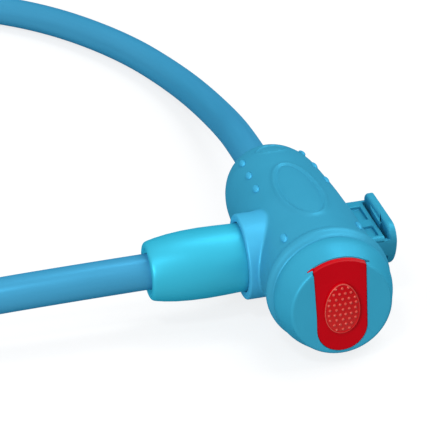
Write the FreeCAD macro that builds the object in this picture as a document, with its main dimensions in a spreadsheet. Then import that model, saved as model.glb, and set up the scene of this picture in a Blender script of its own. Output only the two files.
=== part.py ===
import FreeCAD
import Part
import Sketcher
import math
import os

# Cross-head cable lock. Millimetres. Every piece is drawn about the crossing of the lock's axis (Y, front
# face towards -Y) and the socket's axis (X, cable end towards -X), then placed so that the origin lies on
# the ground under the middle of the head.

V = FreeCAD.Vector
document = FreeCAD.newDocument("CableLock")
sheet = document.addObject("Spreadsheet::Sheet", "Sizes")

SIZES = (
    # head skin
    ("bead_rise", 1.25, "how far the bead, the head's thickest place, stands out of the front edge"),
    ("bead_round", 3.0, "radius of the bead's own section"),
    ("bead_back", 27.3, "bead, in front of the socket axis"),
    ("cover_front", 31.0, "front edge of the skin, in front of the socket axis"),
    ("cover_front_radius", 19.6, "skin at its front edge"),
    ("cover_waist_radius", 19.45, "skin at the socket axis"),
    ("cover_mid", 20.0, "distance of the middle section behind the socket axis"),
    ("cover_mid_radius", 18.8, "skin at the middle section"),
    ("cover_tail", 43.0, "where the tail starts to round off"),
    ("cover_tail_radius", 17.2, "skin where the tail starts to round off"),
    ("cover_rear", 57.2, "rear end of the skin"),
    ("tail_round", 15.0, "radius of the rounded tail's section"),
    ("cover_wall", 1.8, "thickness of the skin"),
    # dots on the skin
    ("dot_radius", 1.5, "radius of a dot's ball"),
    ("dot_height", 0.65, "how far a dot stands out"),
    ("dot_angle", 39.5, "dots, from the top of the head, in degrees"),
    ("dot_first", 18.4, "first dot behind the socket axis"),
    ("dot_margin", 2.0, "last dot, in front of where the tail starts to round off"),
    ("dot_front", 18.3, "single front dots, in front of the socket axis"),
    # socket
    ("collar_radius", 14.4, "collar round the socket"),
    ("socket_mouth", 22.7, "mouth of the collar, from the lock's axis"),
    ("mouth_radius", 11.67, "bore of the collar"),
    ("boss_face", 17.9, "face of the housing's boss inside the collar"),
    ("liner_radius", 5.6, "outer radius of the steel socket sleeve"),
    ("liner_end", 11.0, "closed end of the socket sleeve"),
    ("pin_radius", 4.0, "connector pin"),
    ("pin_gap", 0.1, "running gap round the pin"),
    ("pin_tip", 8.0, "tip of the pin beyond the lock's axis"),
    ("groove_radius", 2.6, "bottom of the pin's groove"),
    ("groove_half", 2.1, "half the width of the pin's groove"),
    ("seal_radius", 7.5, "outer radius of the mouth seal"),
    ("seal_thick", 1.2, "thickness of the mouth seal"),
    # housing and what it holds
    ("bore_radius", 13.0, "bore that holds the lock cylinder"),
    ("bore_depth", 8.2, "rear end of that bore, behind the socket axis"),
    ("spigot_radius", 15.6, "front spigot that carries the cap"),
    ("fit_gap", 0.1, "gap of a close fit"),
    ("barrel_front", 38.6, "front face of the lock cylinder"),
    ("barrel_rear", 10.4, "rear face of the lock cylinder"),
    ("plug_radius", 6.5, "turning plug"),
    ("plug_flange_radius", 7.4, "flange at the plug's front"),
    ("plug_flange", 1.6, "thickness of that flange"),
    ("plug_shoulder", 12.3, "rear end of the plug's thick part"),
    ("plug_tail_radius", 3.0, "tail of the plug"),
    ("plug_tail_end", 8.9, "rear end of the tail"),
    ("clip_groove_radius", 2.5, "bottom of the clip's groove"),
    ("clip_radius", 5.0, "outer radius of the clip"),
    ("clip_thick", 0.7, "thickness of the clip"),
    ("keyway_half", 0.9, "half the width of the keyway"),
    ("keyway_height", 8.4, "height of the keyway"),
    ("keyway_end", 15.0, "inner end of the keyway, in front of the socket axis"),
    ("wafer_lead", 5.6, "first wafer, behind the cylinder's front face"),
    ("wafer_step", 3.4, "from wafer to wafer"),
    ("wafer_thick", 1.0, "thickness of a wafer"),
    ("wafer_half", 2.6, "half the width of a wafer"),
    ("wafer_height", 11.2, "height of a wafer"),
    ("wafer_slot_gap", 0.1, "gap round a wafer in the plug"),
    ("spring_wire", 0.14, "wire radius of a wafer spring"),
    ("spring_radius", 0.5, "middle radius of a wafer spring's coil"),
    ("crank_pin_radius", 1.2, "pin of the eccentric"),
    ("crank_disc_radius", 4.4, "disc of the eccentric"),
    ("crank_pin_end", 6.5, "end of the eccentric's pin, in front of the socket axis"),
    # latch
    ("latch_travel", 2.4, "travel of the bolt for a quarter turn of the key"),
    ("latch_gap", 0.15, "gap round the bolt in its guide"),
    ("latch_half", 1.8, "half the width of the bolt's tooth"),
    ("latch_plate_thick", 1.7, "thickness of the bolt's front plate"),
    ("latch_plate_front", 7.95, "front face of that plate, in front of the socket axis"),
    ("latch_bridge_low", 8.3, "underside of the bolt's bridge at rest"),
    ("latch_bridge_thick", 2.2, "thickness of the bridge"),
    ("latch_tooth_rear", 3.0, "rear face of the tooth, behind the socket axis"),
    ("latch_spring_radius", 1.3, "middle radius of the bolt spring's coil"),
    ("latch_spring_wire", 0.22, "wire radius of the bolt spring"),
    ("guide_front", 8.1, "front face of the guide, in front of the socket axis"),
    # cap and sliding cover
    ("cap_rear_radius", 19.74, "cap beside the bead"),
    ("cap_edge_radius", 16.95, "cap at its front edge"),
    ("cap_edge_deep", 0.6, "front edge of the cap's side, behind its face"),
    ("cap_edge_inset", 0.75, "flat of the face, inside that edge"),
    ("cap_edge_round", 0.8, "rounding of the cap's front edge"),
    ("cap_side_round", 34.0, "crown of the cap's side"),
    ("cap_web_thick", 2.2, "thickness of the cap's web behind the cover's channel"),
    ("cap_gap", 0.12, "thin line between the skin and the cap"),
    ("keyhole_radius", 7.7, "hole in the cap in front of the plug"),
    ("channel_deep", 2.2, "depth of the cover's channel"),
    ("slide_half", 8.3, "half the width of the sliding cover"),
    ("slide_bottom", 7.2, "centre of the cover's round lower end, under the lock's axis"),
    ("slide_sink", 0.3, "how far the cover lies below the cap's face"),
    ("slide_gap", 0.15, "gap round the sliding cover"),
    ("flange_half", 11.0, "half the width over the cover's side flanges"),
    ("flange_thick", 0.8, "thickness of the side flanges"),
    ("thumb_half", 6.0, "half the width of the thumb pad"),
    ("thumb_tall", 9.3, "half the height of the thumb pad"),
    ("thumb_rise", 1.6, "how far the thumb pad stands out of the cover"),
    ("leaf_thick", 0.3, "thickness of the cover's leaf spring"),
    ("leaf_half", 2.4, "half the width of the leaf spring"),
    ("leaf_low", 9.3, "lower end of the leaf spring, above the lock's axis"),
    ("leaf_high", 14.3, "upper end of the leaf spring"),
    ("leaf_rise", 0.75, "height of the leaf spring's bow"),
    ("ring_back", 34.6, "seal ring of the cap, in front of the socket axis"),
    ("ring_round", 0.85, "radius of the seal ring's section"),
    # foot
    ("foot_outer", 28.0, "outer face of the foot, from the lock's axis"),
    ("foot_plate_thick", 2.9, "thickness of the foot's upright plate"),
    ("foot_slot", 1.2, "width of the slot behind the plate"),
    ("foot_rear", 16.3, "rear end of the foot, behind the socket axis"),
    ("foot_front", 12.8, "front end of the foot, in front of the socket axis"),
    ("foot_front_wall", 2.0, "wall that joins plate and base at the front"),
    ("foot_wall_top", 4.8, "top of that wall, above the lock's axis"),
    ("foot_slant_round", 16.3, "rounding of the slanting lower front"),
    ("foot_slant_high", 3.5, "upper end of that rounding, above the lock's axis"),
    ("foot_slant_low", 2.0, "lower end of that rounding, in front of the socket axis"),
    ("foot_base_round", 1.5, "rounded upper corners of the base"),
    ("foot_low", 9.5, "underside of the foot, below the lock's axis"),
    ("foot_low_round", 4.0, "rounding of the rear lower corner"),
    ("foot_top", 6.0, "top of the foot's base, above the lock's axis"),
    ("foot_plate_top", 9.0, "top of the upright plate"),
    ("foot_rear_round", 3.0, "rounding of the plate's upper rear corner"),
    ("foot_front_round", 5.2, "rounding of the plate's upper front corner"),
    ("foot_pocket_low", 4.9, "floor of the shallow pockets, above the lock's axis"),
    ("foot_pocket_long", 9.7, "length of the rear pocket"),
    ("foot_pocket_short", 7.1, "length of the front pocket"),
    ("foot_pocket_rear", 11.2, "rear end of the rear pocket"),
    ("foot_pocket_step", 14.7, "from the rear end of one pocket to that of the other"),
    ("foot_rib", 1.7, "rib between the pockets and the slot"),
    ("tongue_top", 7.8, "top of the sprung tongue in the slot, above the lock's axis"),
    ("tongue_tip", 5.5, "tip of the tongue, in front of the socket axis"),
    ("tongue_gap", 0.2, "gap between the tongue's tip and the base"),
    ("tongue_root", 0.9, "where tongue and plate part, in front of the socket axis"),
    ("tongue_notch", 0.8, "how far the notch behind the tongue reaches into the plate"),
    ("tongue_open", 4.5, "front end of that notch, in front of the socket axis"),
    ("tongue_bend", 5.0, "bend of the tongue's inner side, behind the socket axis"),
    ("tongue_bend_gap", 0.5, "gap between that bend and the base"),
    ("tongue_start", 8.6, "rear end of the tongue, behind the socket axis"),
    ("slot_rear", 14.2, "rear end of the slot, behind the socket axis"),
    # cable and its ends
    ("cable_radius", 6.0, "cable over its sleeve"),
    ("core_radius", 3.6, "steel strand"),
    ("crimp_radius", 8.0, "crimped sleeve on the fixed end"),
    ("crimp_front", 16.0, "front end of that sleeve, behind the socket axis"),
    ("crimp_rear", 46.0, "rear end of that sleeve"),
    ("sleeve_start", 34.0, "end of the cable's plastic sleeve in the head"),
    ("core_start", 18.0, "end of the strand in the head"),
    ("gland_lip_radius", 8.9, "lip of the ring where the cable leaves"),
    ("gland_lip", 0.9, "thickness of that lip"),
    ("cross_pin_radius", 1.5, "cross pin of the fixed end"),
    ("cross_pin_back", 28.0, "cross pin, behind the socket axis"),
    ("boot_gap", 0.3, "gap round the boot in the collar"),
    ("boot_belly_radius", 11.8, "boot at its thickest"),
    ("boot_belly", 35.5, "thickest place, from the lock's axis"),
    ("boot_step", 2.0, "thickness of the pin's flange inside the boot"),
    ("pin_flange_radius", 6.0, "flange of the connector pin"),
    ("pin_root_radius", 4.9, "root of the pin in its crimped sleeve"),
    ("pin_root_end", 30.0, "end of the root, from the lock's axis"),
    ("sleeve_end", 40.0, "end of the cable's plastic sleeve in the connector"),
    ("core_end", 31.0, "end of the strand in the connector"),
    ("boot_tail_radius", 10.2, "boot near its end"),
    ("boot_end", 54.3, "end face of the boot"),
    ("boot_end_long", 2.1, "length of the boot's rounded end"),
    ("boot_end_step", 1.9, "how far that end draws in"),
    ("boot_end_round", 2.1, "rounding of the boot's end"),
    ("end_crimp_radius", 7.6, "crimped sleeve inside the boot"),
    ("end_crimp_end", 48.0, "rear end of that sleeve"),
    ("cable_gap", 0.15, "gap round the cable in the connector's pieces"),
    # fasteners
    ("grub_radius", 1.5, "grub screws of the lock cylinder"),
    ("grub_depth", 2.0, "how far a grub screw enters the cylinder"),
    ("grub_back", 20.0, "grub screws, in front of the socket axis"),
    ("screw_radius", 1.4, "shank of a foot screw"),
    ("screw_head_radius", 2.6, "head of a foot screw"),
    ("screw_head", 1.8, "height of that head"),
    ("screw_low", 4.5, "foot screws, below the lock's axis"),
    ("screw_reach", 21.0, "tip of a foot screw, from the lock's axis"),
    ("screw_front", 5.0, "front foot screw, in front of the socket axis"),
    ("screw_rear", 4.5, "rear foot screw, behind the socket axis"),
)

for row, (name, value, note) in enumerate(SIZES, 1):
    sheet.set("A%d" % row, name)
    sheet.set("B%d" % row, str(value))
    sheet.set("C%d" % row, note)
    sheet.setAlias("B%d" % row, name)
document.recompute()


class Size:
    """A number that also knows the sheet expression it comes from."""

    def __init__(self, text, value):
        self.text = text
        self.value = value

    @staticmethod
    def of(other):
        return other if isinstance(other, Size) else Size(repr(other), float(other))

    def joined(self, sign, other, value):
        return Size("(%s %s %s)" % (self.text, sign, other.text), value)

    def __add__(self, other):
        other = Size.of(other)
        return self.joined("+", other, self.value + other.value)

    def __sub__(self, other):
        other = Size.of(other)
        return self.joined("-", other, self.value - other.value)

    def __mul__(self, other):
        other = Size.of(other)
        return self.joined("*", other, self.value * other.value)

    def __truediv__(self, other):
        other = Size.of(other)
        return self.joined("/", other, self.value / other.value)

    def __neg__(self):
        return Size("(-%s)" % self.text, -self.value)

    __radd__ = __add__

    def __rsub__(self, other):
        return Size.of(other) - self


class Sheet:
    """The sheet's sizes by name."""


s = Sheet()
for name, value, note in SIZES:
    setattr(s, name, Size("Sizes." + name, float(value)))

# distances that follow from others
bead_radius = s.cover_front_radius + s.bead_rise
spigot_front = s.barrel_front - s.fit_gap * 2
wafer_first = s.barrel_front - s.wafer_lead
cap_web = s.barrel_front + s.fit_gap * 2
channel_floor = cap_web + s.cap_web_thick
cap_face = channel_floor + s.channel_deep
cap_edge = cap_face - s.cap_edge_deep
boot_tail = s.boot_end - s.boot_end_long

# where the crossing of the two axes lies in the part's frame
thumb_front = cap_face - s.slide_sink + s.thumb_rise
gland_rear = s.cover_rear + s.gland_lip
CENTRE = (
    (s.socket_mouth - s.foot_outer) / 2,
    (thumb_front - gland_rear) / 2,
    bead_radius,
)

subparts = []


def bind(thing, path, amount):
    """Ties one property of a thing to the sheet, or sets it where the amount is a plain number."""
    amount = Size.of(amount)
    thing.setExpression(path, amount.text)


def move(thing, place, rotation=None):
    """Gives a thing its place, and a turn where one is given, with the place tied to the sheet."""
    sizes = [Size.of(amount) for amount in place]
    base = V(*[amount.value for amount in sizes])
    thing.Placement = FreeCAD.Placement(base, rotation or FreeCAD.Rotation())
    for letter, amount in zip("xyz", sizes):
        if "Sizes" in amount.text:
            thing.setExpression("Placement.Base." + letter, amount.text)


def finish(thing, label):
    """Names a finished sub-part and moves it into the part's frame."""
    thing.Label = label
    move(thing, CENTRE)
    subparts.append(thing)
    return thing


def new_body(name):
    return document.addObject("PartDesign::Body", "Body_" + name)


def origin_plane(body, role):
    return [part for part in body.Origin.OriginFeatures if part.Role == role][0]


def arc_between(start, end, radius):
    """Arc of the given radius from start to end, bulging right of the way for a positive radius, which is
    outwards where the outline runs anticlockwise."""
    chord = end - start
    half = chord.Length / 2
    rise = math.sqrt(max(radius * radius - half * half, 0.0))
    left = V(-chord.y, chord.x, 0).normalize()
    side = 1 if radius > 0 else -1
    centre = start + chord * 0.5 + left * (side * rise)
    first, last = (start, end) if side > 0 else (end, start)
    angles = [math.atan2(point.y - centre.y, point.x - centre.x) for point in (first, last)]
    circle = Part.Circle(centre, V(0, 0, 1), abs(radius))
    return Part.ArcOfCircle(circle, angles[0], angles[1])


def outline(body, role, corners, lift=None):
    """Closed sketch through corners (a, b), each tied to the sheet. A third value in a corner is the
    radius of an arc to the next corner."""
    sketch = body.newObject("Sketcher::SketchObject", "Outline")
    sketch.AttachmentSupport = [(origin_plane(body, role), "")]
    sketch.MapMode = "FlatFace"
    if lift is not None:
        bind(sketch, "AttachmentOffset.Base.z", lift)
    points = [V(Size.of(c[0]).value, Size.of(c[1]).value, 0) for c in corners]
    count = len(corners)
    ends = []
    for i, corner in enumerate(corners):
        start, end = points[i], points[(i + 1) % count]
        if len(corner) > 2:
            radius = Size.of(corner[2])
            sketch.addGeometry(arc_between(start, end, radius.value), False)
            ends.append((1, 2) if radius.value > 0 else (2, 1))
        else:
            sketch.addGeometry(Part.LineSegment(start, end), False)
            ends.append((1, 2))
    for i in range(count):
        after = (i + 1) % count
        sketch.addConstraint(Sketcher.Constraint("Coincident", i, ends[i][1], after, ends[after][0]))
    for i, corner in enumerate(corners):
        for kind, amount in (("DistanceX", corner[0]), ("DistanceY", corner[1])):
            amount = Size.of(amount)
            rule = Sketcher.Constraint(kind, -1, 1, i, ends[i][0], amount.value)
            number = sketch.addConstraint(rule)
            if "Sizes" in amount.text:
                sketch.setExpression("Constraints[%d]" % number, amount.text)
        if len(corner) > 2:
            radius = Size.of(corner[2])
            text = radius.text if radius.value > 0 else (-radius).text
            number = sketch.addConstraint(Sketcher.Constraint("Radius", i, abs(radius.value)))
            sketch.setExpression("Constraints[%d]" % number, text)
    return sketch


def turn(body, role, corners, axis, cut=False):
    """Revolves an outline about the sketch's V_Axis or H_Axis."""
    sketch = outline(body, role, corners)
    kind = "PartDesign::Groove" if cut else "PartDesign::Revolution"
    feature = body.newObject(kind, "Turned")
    feature.Profile = sketch
    feature.ReferenceAxis = (sketch, [axis])
    feature.Angle = 360
    return feature


def block(body, x, y, z, cut=False):
    """Adds or cuts a box between the given limits."""
    kind = "PartDesign::SubtractiveBox" if cut else "PartDesign::AdditiveBox"
    feature = body.newObject(kind, "Block")
    for name, (low, high) in (("Length", x), ("Width", y), ("Height", z)):
        bind(feature, name, Size.of(high) - low)
    move(feature, (x[0], y[0], z[0]))
    return feature


TURNS = {
    "x": FreeCAD.Rotation(V(0, 1, 0), 90),
    "y": FreeCAD.Rotation(V(1, 0, 0), -90),
    "z": FreeCAD.Rotation(),
}


def rod(body, axis, radius, start, length, cut=False):
    """Adds or cuts a cylinder that runs along an axis from a start point."""
    kind = "PartDesign::SubtractiveCylinder" if cut else "PartDesign::AdditiveCylinder"
    feature = body.newObject(kind, "Rod")
    bind(feature, "Radius", radius)
    bind(feature, "Height", length)
    move(feature, start, TURNS[axis])
    return feature


def ball(body, radius, centre):
    feature = body.newObject("PartDesign::AdditiveSphere", "Ball")
    bind(feature, "Radius", radius)
    move(feature, centre)
    return feature


def head_outline(inset):
    """The head's side as seen from the lock's axis, moved inwards by an inset."""
    tail_end = s.crimp_radius
    return [
        (tail_end, s.cover_rear - inset),
        (tail_end, -s.cover_front),
        (s.cover_front_radius - inset, -s.cover_front),
        (s.cover_waist_radius - inset, 0),
        (s.cover_mid_radius - inset, s.cover_mid),
        (s.cover_tail_radius - inset, s.cover_tail, s.tail_round - inset),
    ]


def foot_outline(top, rear_round, front_round):
    """The foot as seen from its side, up to a given top with the given rounding of its upper corners."""
    return [
        (-s.foot_slant_low, -s.foot_low),
        (s.foot_rear - s.foot_low_round, -s.foot_low, s.foot_low_round),
        (s.foot_rear, s.foot_low_round - s.foot_low),
        (s.foot_rear, top - rear_round, rear_round),
        (s.foot_rear - rear_round, top),
        (front_round - s.foot_front, top, front_round),
        (-s.foot_front, top - front_round),
        (-s.foot_front, s.foot_slant_high, s.foot_slant_round),
    ]


def pull(body, role, corners, lift, length, cut=False):
    """Pads an outline away from its plane, or pockets it back towards the plane."""
    sketch = outline(body, role, corners, lift)
    feature = body.newObject("PartDesign::Pocket" if cut else "PartDesign::Pad", "Pulled")
    feature.Profile = sketch
    bind(feature, "Length", length)
    return feature


def primitive_box(x, y, z):
    """Box between limits, as a part of a node made of several solids."""
    box = document.addObject("Part::Box", "Piece")
    for name, (low, high) in (("Length", x), ("Width", y), ("Height", z)):
        bind(box, name, Size.of(high) - low)
    move(box, (x[0], y[0], z[0]))
    return box


def primitive_rod(axis, radius, start, length):
    """Cylinder, as a part of a node made of several solids."""
    cylinder = document.addObject("Part::Cylinder", "Piece")
    bind(cylinder, "Radius", radius)
    bind(cylinder, "Height", length)
    move(cylinder, start, TURNS[axis])
    return cylinder


def fused(pieces):
    joined = document.addObject("Part::MultiFuse", "Joined")
    joined.Shapes = pieces
    return joined


def without(base, tool):
    rest = document.addObject("Part::Cut", "Rest")
    rest.Base = base
    rest.Tool = tool
    return rest


def group(pieces, label):
    """Node of several separate solids."""
    together = document.addObject("Part::Compound", "Group")
    together.Links = pieces
    return finish(together, label)


def plain(shape, label):
    """Node whose shape is worked out here from the sheet's values."""
    feature = document.addObject("Part::Feature", "Worked")
    feature.Shape = shape
    return finish(feature, label)


def coil(radius, wire, start, height, turns):
    """Round wire wound upwards from a start point on the coil's axis."""
    helix = Part.makeHelix(height / turns, height, radius)
    helix.translate(start)
    begin = start + V(radius, 0, 0)
    ring = Part.Wire(Part.makeCircle(wire, begin, V(0, 1, 0)))
    return Part.Wire(helix.Edges).makePipeShell([ring], True, True)


# skin of the head
skin = new_body("skin")
turn(skin, "XY_Plane", head_outline(0), "V_Axis")
bead = skin.newObject("PartDesign::AdditiveTorus", "Bead")
bind(bead, "Radius1", bead_radius - s.bead_round)
bind(bead, "Radius2", s.bead_round)
move(bead, (0, -s.bead_back, 0), TURNS["y"])
rod(skin, "x", s.collar_radius, (-s.socket_mouth, 0, 0), s.socket_mouth - s.cover_wall)
front_growth = (s.cover_front_radius - s.cover_waist_radius) / s.cover_front
DOT_PLACES = [(-s.dot_front, s.cover_waist_radius + front_growth * s.dot_front)]
dot_step = (s.cover_tail - s.dot_margin - s.dot_first) / 2
for i in range(3):
    back = s.dot_first + dot_step * i
    span = (back - s.cover_mid) / (s.cover_tail - s.cover_mid)
    skin_radius = s.cover_mid_radius - (s.cover_mid_radius - s.cover_tail_radius) * span
    DOT_PLACES.append((back, skin_radius))
for back, skin_radius in DOT_PLACES:
    reach = skin_radius + s.dot_height - s.dot_radius
    for side in (-1, 1):
        angle = math.radians(s.dot_angle.value)
        ball(skin, s.dot_radius, (reach * (side * math.sin(angle)), back, reach * math.cos(angle)))
turn(skin, "XY_Plane", head_outline(s.cover_wall), "V_Axis", cut=True)
rod(skin, "y", s.crimp_radius, (0, -s.cover_front, 0), s.cover_front + s.cover_rear, cut=True)
rod(skin, "x", s.mouth_radius, (-s.socket_mouth, 0, 0), s.socket_mouth, cut=True)
pull(skin, "YZ_Plane", foot_outline(s.foot_top, s.foot_base_round, s.foot_base_round), s.foot_outer,
     s.foot_outer - s.crimp_radius, cut=True)
finish(skin, "soft_cover")

# hard shell inside the skin
shell = new_body("housing")
turn(shell, "XY_Plane", head_outline(s.cover_wall), "V_Axis")
rod(shell, "y", s.spigot_radius, (0, -spigot_front, 0), spigot_front + s.crimp_front)
rod(shell, "x", s.mouth_radius, (-s.boss_face, 0, 0), s.boss_face - s.crimp_radius)
rod(shell, "y", s.bore_radius, (0, -spigot_front, 0), spigot_front + s.bore_depth, cut=True)
rod(shell, "x", s.liner_radius, (-s.boss_face, 0, 0), s.boss_face, cut=True)
rod(shell, "x", s.seal_radius, (-s.boss_face, 0, 0), s.seal_thick, cut=True)
turn(shell, "XY_Plane", [
    (s.spigot_radius - s.ring_round * 2, -s.ring_back - s.ring_round),
    (s.cap_rear_radius, -s.ring_back - s.ring_round),
    (s.cap_rear_radius, s.ring_round - s.ring_back),
    (s.spigot_radius - s.ring_round * 2, s.ring_round - s.ring_back),
], "V_Axis", cut=True)
rod(shell, "z", s.grub_radius, (0, -s.grub_back, -s.cover_front_radius), s.cover_front_radius * 2, cut=True)
rod(shell, "z", s.cross_pin_radius, (s.crimp_radius, s.cross_pin_back, -s.cover_front_radius),
    s.cover_front_radius * 2, cut=True)
SCREW_PLACES = (-s.screw_front, s.screw_rear)
head_front = s.bore_radius + s.fit_gap
for back in SCREW_PLACES:
    rod(shell, "x", s.screw_radius, (s.crimp_radius, back, -s.screw_low), s.bore_radius, cut=True)
    rod(shell, "x", s.screw_head_radius, (s.crimp_radius, back, -s.screw_low),
        head_front + s.screw_head - s.crimp_radius, cut=True)
finish(shell, "housing")

# lock cylinder
plug_front = s.barrel_front - s.fit_gap
flange_rear = plug_front - s.plug_flange
barrel_radius = s.bore_radius - s.fit_gap
plug_bore = s.plug_radius + s.fit_gap
barrel = new_body("barrel")
turn(barrel, "XY_Plane", [
    (s.plug_tail_radius + s.fit_gap, -s.barrel_rear),
    (barrel_radius, -s.barrel_rear),
    (barrel_radius, -s.barrel_front),
    (s.plug_flange_radius + s.fit_gap, -s.barrel_front),
    (s.plug_flange_radius + s.fit_gap, s.fit_gap - flange_rear),
    (plug_bore, s.fit_gap - flange_rear),
    (plug_bore, s.fit_gap - s.plug_shoulder),
    (s.plug_tail_radius + s.fit_gap, s.fit_gap - s.plug_shoulder),
], "V_Axis")
WAFERS = 5
wafer_slot_half = s.wafer_half + s.wafer_slot_gap
wafer_last = wafer_first - s.wafer_step * (WAFERS - 1)
channel = s.plug_radius + s.wafer_half
block(barrel, (-wafer_slot_half, wafer_slot_half), (-wafer_first - s.wafer_thick, s.wafer_thick - wafer_last),
      (-channel, channel), cut=True)
grub_tip = s.bore_radius - s.grub_depth
for low in (-s.bore_radius, grub_tip):
    rod(barrel, "z", s.grub_radius, (0, -s.grub_back, low), s.grub_depth, cut=True)
finish(barrel, "lock_barrel")

# turning plug
clip_front = s.barrel_rear - s.fit_gap
clip_rear = clip_front - s.clip_thick
plug = new_body("plug")
turn(plug, "XY_Plane", [
    (0, -plug_front),
    (s.plug_flange_radius, -plug_front),
    (s.plug_flange_radius, -flange_rear),
    (s.plug_radius, -flange_rear),
    (s.plug_radius, -s.plug_shoulder),
    (s.plug_tail_radius, -s.plug_shoulder),
    (s.plug_tail_radius, -clip_front),
    (s.clip_groove_radius, -clip_front),
    (s.clip_groove_radius, -clip_rear),
    (s.plug_tail_radius, -clip_rear),
    (s.plug_tail_radius, -s.plug_tail_end),
    (0, -s.plug_tail_end),
], "V_Axis")
block(plug, (-s.keyway_half, s.keyway_half), (-plug_front, -s.keyway_end),
      (-s.keyway_height / 2, s.keyway_height / 2), cut=True)
spring_outer = s.spring_radius + s.spring_wire + s.wafer_slot_gap
spring_middle = wafer_slot_half + spring_outer
pocket_end = spring_middle + spring_outer
TAB_LOW = 0.5
TAB_HIGH = 1.5
SPRING_LOW = -3.2
for i in range(WAFERS):
    back = wafer_first - s.wafer_step * i
    slot = (-back - s.wafer_thick / 2 - s.wafer_slot_gap, s.wafer_thick / 2 + s.wafer_slot_gap - back)
    block(plug, (-wafer_slot_half, wafer_slot_half), slot, (-s.plug_radius, s.plug_radius), cut=True)
    spring_slot = (-back - spring_outer, spring_outer - back)
    block(plug, (s.wafer_half, pocket_end), spring_slot, (SPRING_LOW, TAB_HIGH + s.wafer_slot_gap), cut=True)
finish(plug, "key_plug")

wafers = []
springs = []
for i in range(WAFERS):
    back = wafer_first - s.wafer_step * i
    thick = (-back - s.wafer_thick / 2, s.wafer_thick / 2 - back)
    plate = primitive_box((-s.wafer_half, s.wafer_half), thick, (-s.wafer_height / 2, s.wafer_height / 2))
    tab = primitive_box((s.wafer_half, spring_middle + s.spring_radius), thick, (TAB_LOW, TAB_HIGH))
    key_gap = s.keyway_half + s.wafer_slot_gap
    window = primitive_box((-key_gap, key_gap), thick, (-s.keyway_height / 2, s.wafer_height / 4))
    wafers.append(without(fused([plate, tab]), window))
    low = V(spring_middle.value, -back.value, SPRING_LOW + s.spring_wire.value)
    height = TAB_LOW - low.z - s.spring_wire.value
    springs.append(coil(s.spring_radius.value, s.spring_wire.value, low, height, 5))
group(wafers, "wafers")
plain(Part.makeCompound(springs), "wafer_springs")

clip = new_body("clip")
turn(clip, "XY_Plane", [
    (s.clip_groove_radius, -clip_front),
    (s.clip_radius, -clip_front),
    (s.clip_radius, -clip_rear),
    (s.clip_groove_radius, -clip_rear),
], "V_Axis")
block(clip, (-s.clip_groove_radius * 0.8, s.clip_groove_radius * 0.8), (-clip_front, -clip_rear),
      (-s.clip_radius, 0), cut=True)
finish(clip, "plug_clip")

# eccentric on the plug's tail; its pin stands at 45 degrees, so that a quarter turn gives the full travel
throw = s.latch_travel / 2
crank_front = clip_rear - s.fit_gap
crank_rear = s.guide_front + s.fit_gap * 2
cam = new_body("cam")
turn(cam, "XY_Plane", [
    (s.plug_tail_radius, -crank_front),
    (s.crank_disc_radius, -crank_front),
    (s.crank_disc_radius, -crank_rear),
    (0, -crank_rear),
    (0, -s.plug_tail_end),
    (s.plug_tail_radius, -s.plug_tail_end),
], "V_Axis")
rod(cam, "y", s.crank_pin_radius, (throw, -crank_rear, throw), crank_rear - s.crank_pin_end)
finish(cam, "plug_cam")

# bolt that enters the groove of the connector pin, drawn back at rest
DIAGONAL = math.sqrt(2)
crank_slot = s.crank_pin_radius + s.latch_gap
slot_left = throw - crank_slot
slot_right = throw * DIAGONAL + crank_slot
plate_rear = s.latch_plate_front - s.latch_plate_thick
plate_left = slot_left - s.latch_plate_thick
plate_right = slot_right + s.latch_plate_thick
plate_low = throw - crank_slot - s.latch_plate_thick
bridge_top = s.latch_bridge_low + s.latch_bridge_thick
tooth_tip = s.groove_radius + s.fit_gap + s.latch_travel
bolt = new_body("bolt")
block(bolt, (plate_left, plate_right), (-s.latch_plate_front, -plate_rear), (plate_low, bridge_top))
block(bolt, (-s.latch_half, s.latch_half), (-plate_rear, s.latch_tooth_rear),
      (s.latch_bridge_low, bridge_top))
block(bolt, (-s.latch_half, s.latch_half), (-s.latch_tooth_rear, s.latch_tooth_rear),
      (tooth_tip, s.latch_bridge_low))
block(bolt, (slot_left, slot_right), (-s.latch_plate_front, -plate_rear),
      (throw - crank_slot, throw + crank_slot), cut=True)
finish(bolt, "latch_bolt")

# guide that fills the rear of the bore and carries the bolt and the steel sleeve
guide = new_body("guide")
guide_rear = s.bore_depth - s.fit_gap
rod(guide, "y", barrel_radius, (0, -s.guide_front, 0), s.guide_front + guide_rear)
rod(guide, "x", s.liner_radius, (-s.bore_radius, 0, 0), s.bore_radius + s.liner_end, cut=True)
cavity_top = bridge_top + s.latch_gap
block(guide, (plate_left - s.latch_gap, plate_right + s.latch_gap),
      (-s.guide_front, s.latch_gap - plate_rear),
      (plate_low - s.latch_travel - s.latch_gap, cavity_top), cut=True)
block(guide, (-s.latch_half - s.latch_gap, s.latch_half + s.latch_gap),
      (-s.guide_front, s.latch_tooth_rear + s.latch_gap), (0, cavity_top), cut=True)
rod(guide, "z", s.latch_spring_radius + s.latch_spring_wire + s.latch_gap, (0, -s.latch_half, 0),
    s.bore_radius, cut=True)
finish(guide, "latch_guide")

spring_low = V(0, -s.latch_half.value, bridge_top.value + s.latch_spring_wire.value)
spring_height = s.bore_radius.value - s.latch_gap.value * 2 - s.latch_spring_wire.value - spring_low.z
plain(coil(s.latch_spring_radius.value, s.latch_spring_wire.value, spring_low, spring_height, 3),
      "latch_spring")

# steel sleeve of the socket
liner = new_body("liner")
liner_mouth = s.boss_face - s.seal_thick
pin_bore = s.pin_radius + s.pin_gap
rod(liner, "x", s.liner_radius, (-liner_mouth, 0, 0), liner_mouth + s.liner_end)
rod(liner, "x", pin_bore, (-liner_mouth, 0, 0), liner_mouth + s.pin_tip + s.pin_gap * 2, cut=True)
block(liner, (-s.latch_half - s.latch_gap, s.latch_half + s.latch_gap),
      (-s.latch_tooth_rear - s.latch_gap, s.latch_tooth_rear + s.latch_gap), (0, s.liner_radius), cut=True)
finish(liner, "socket_liner")

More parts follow.
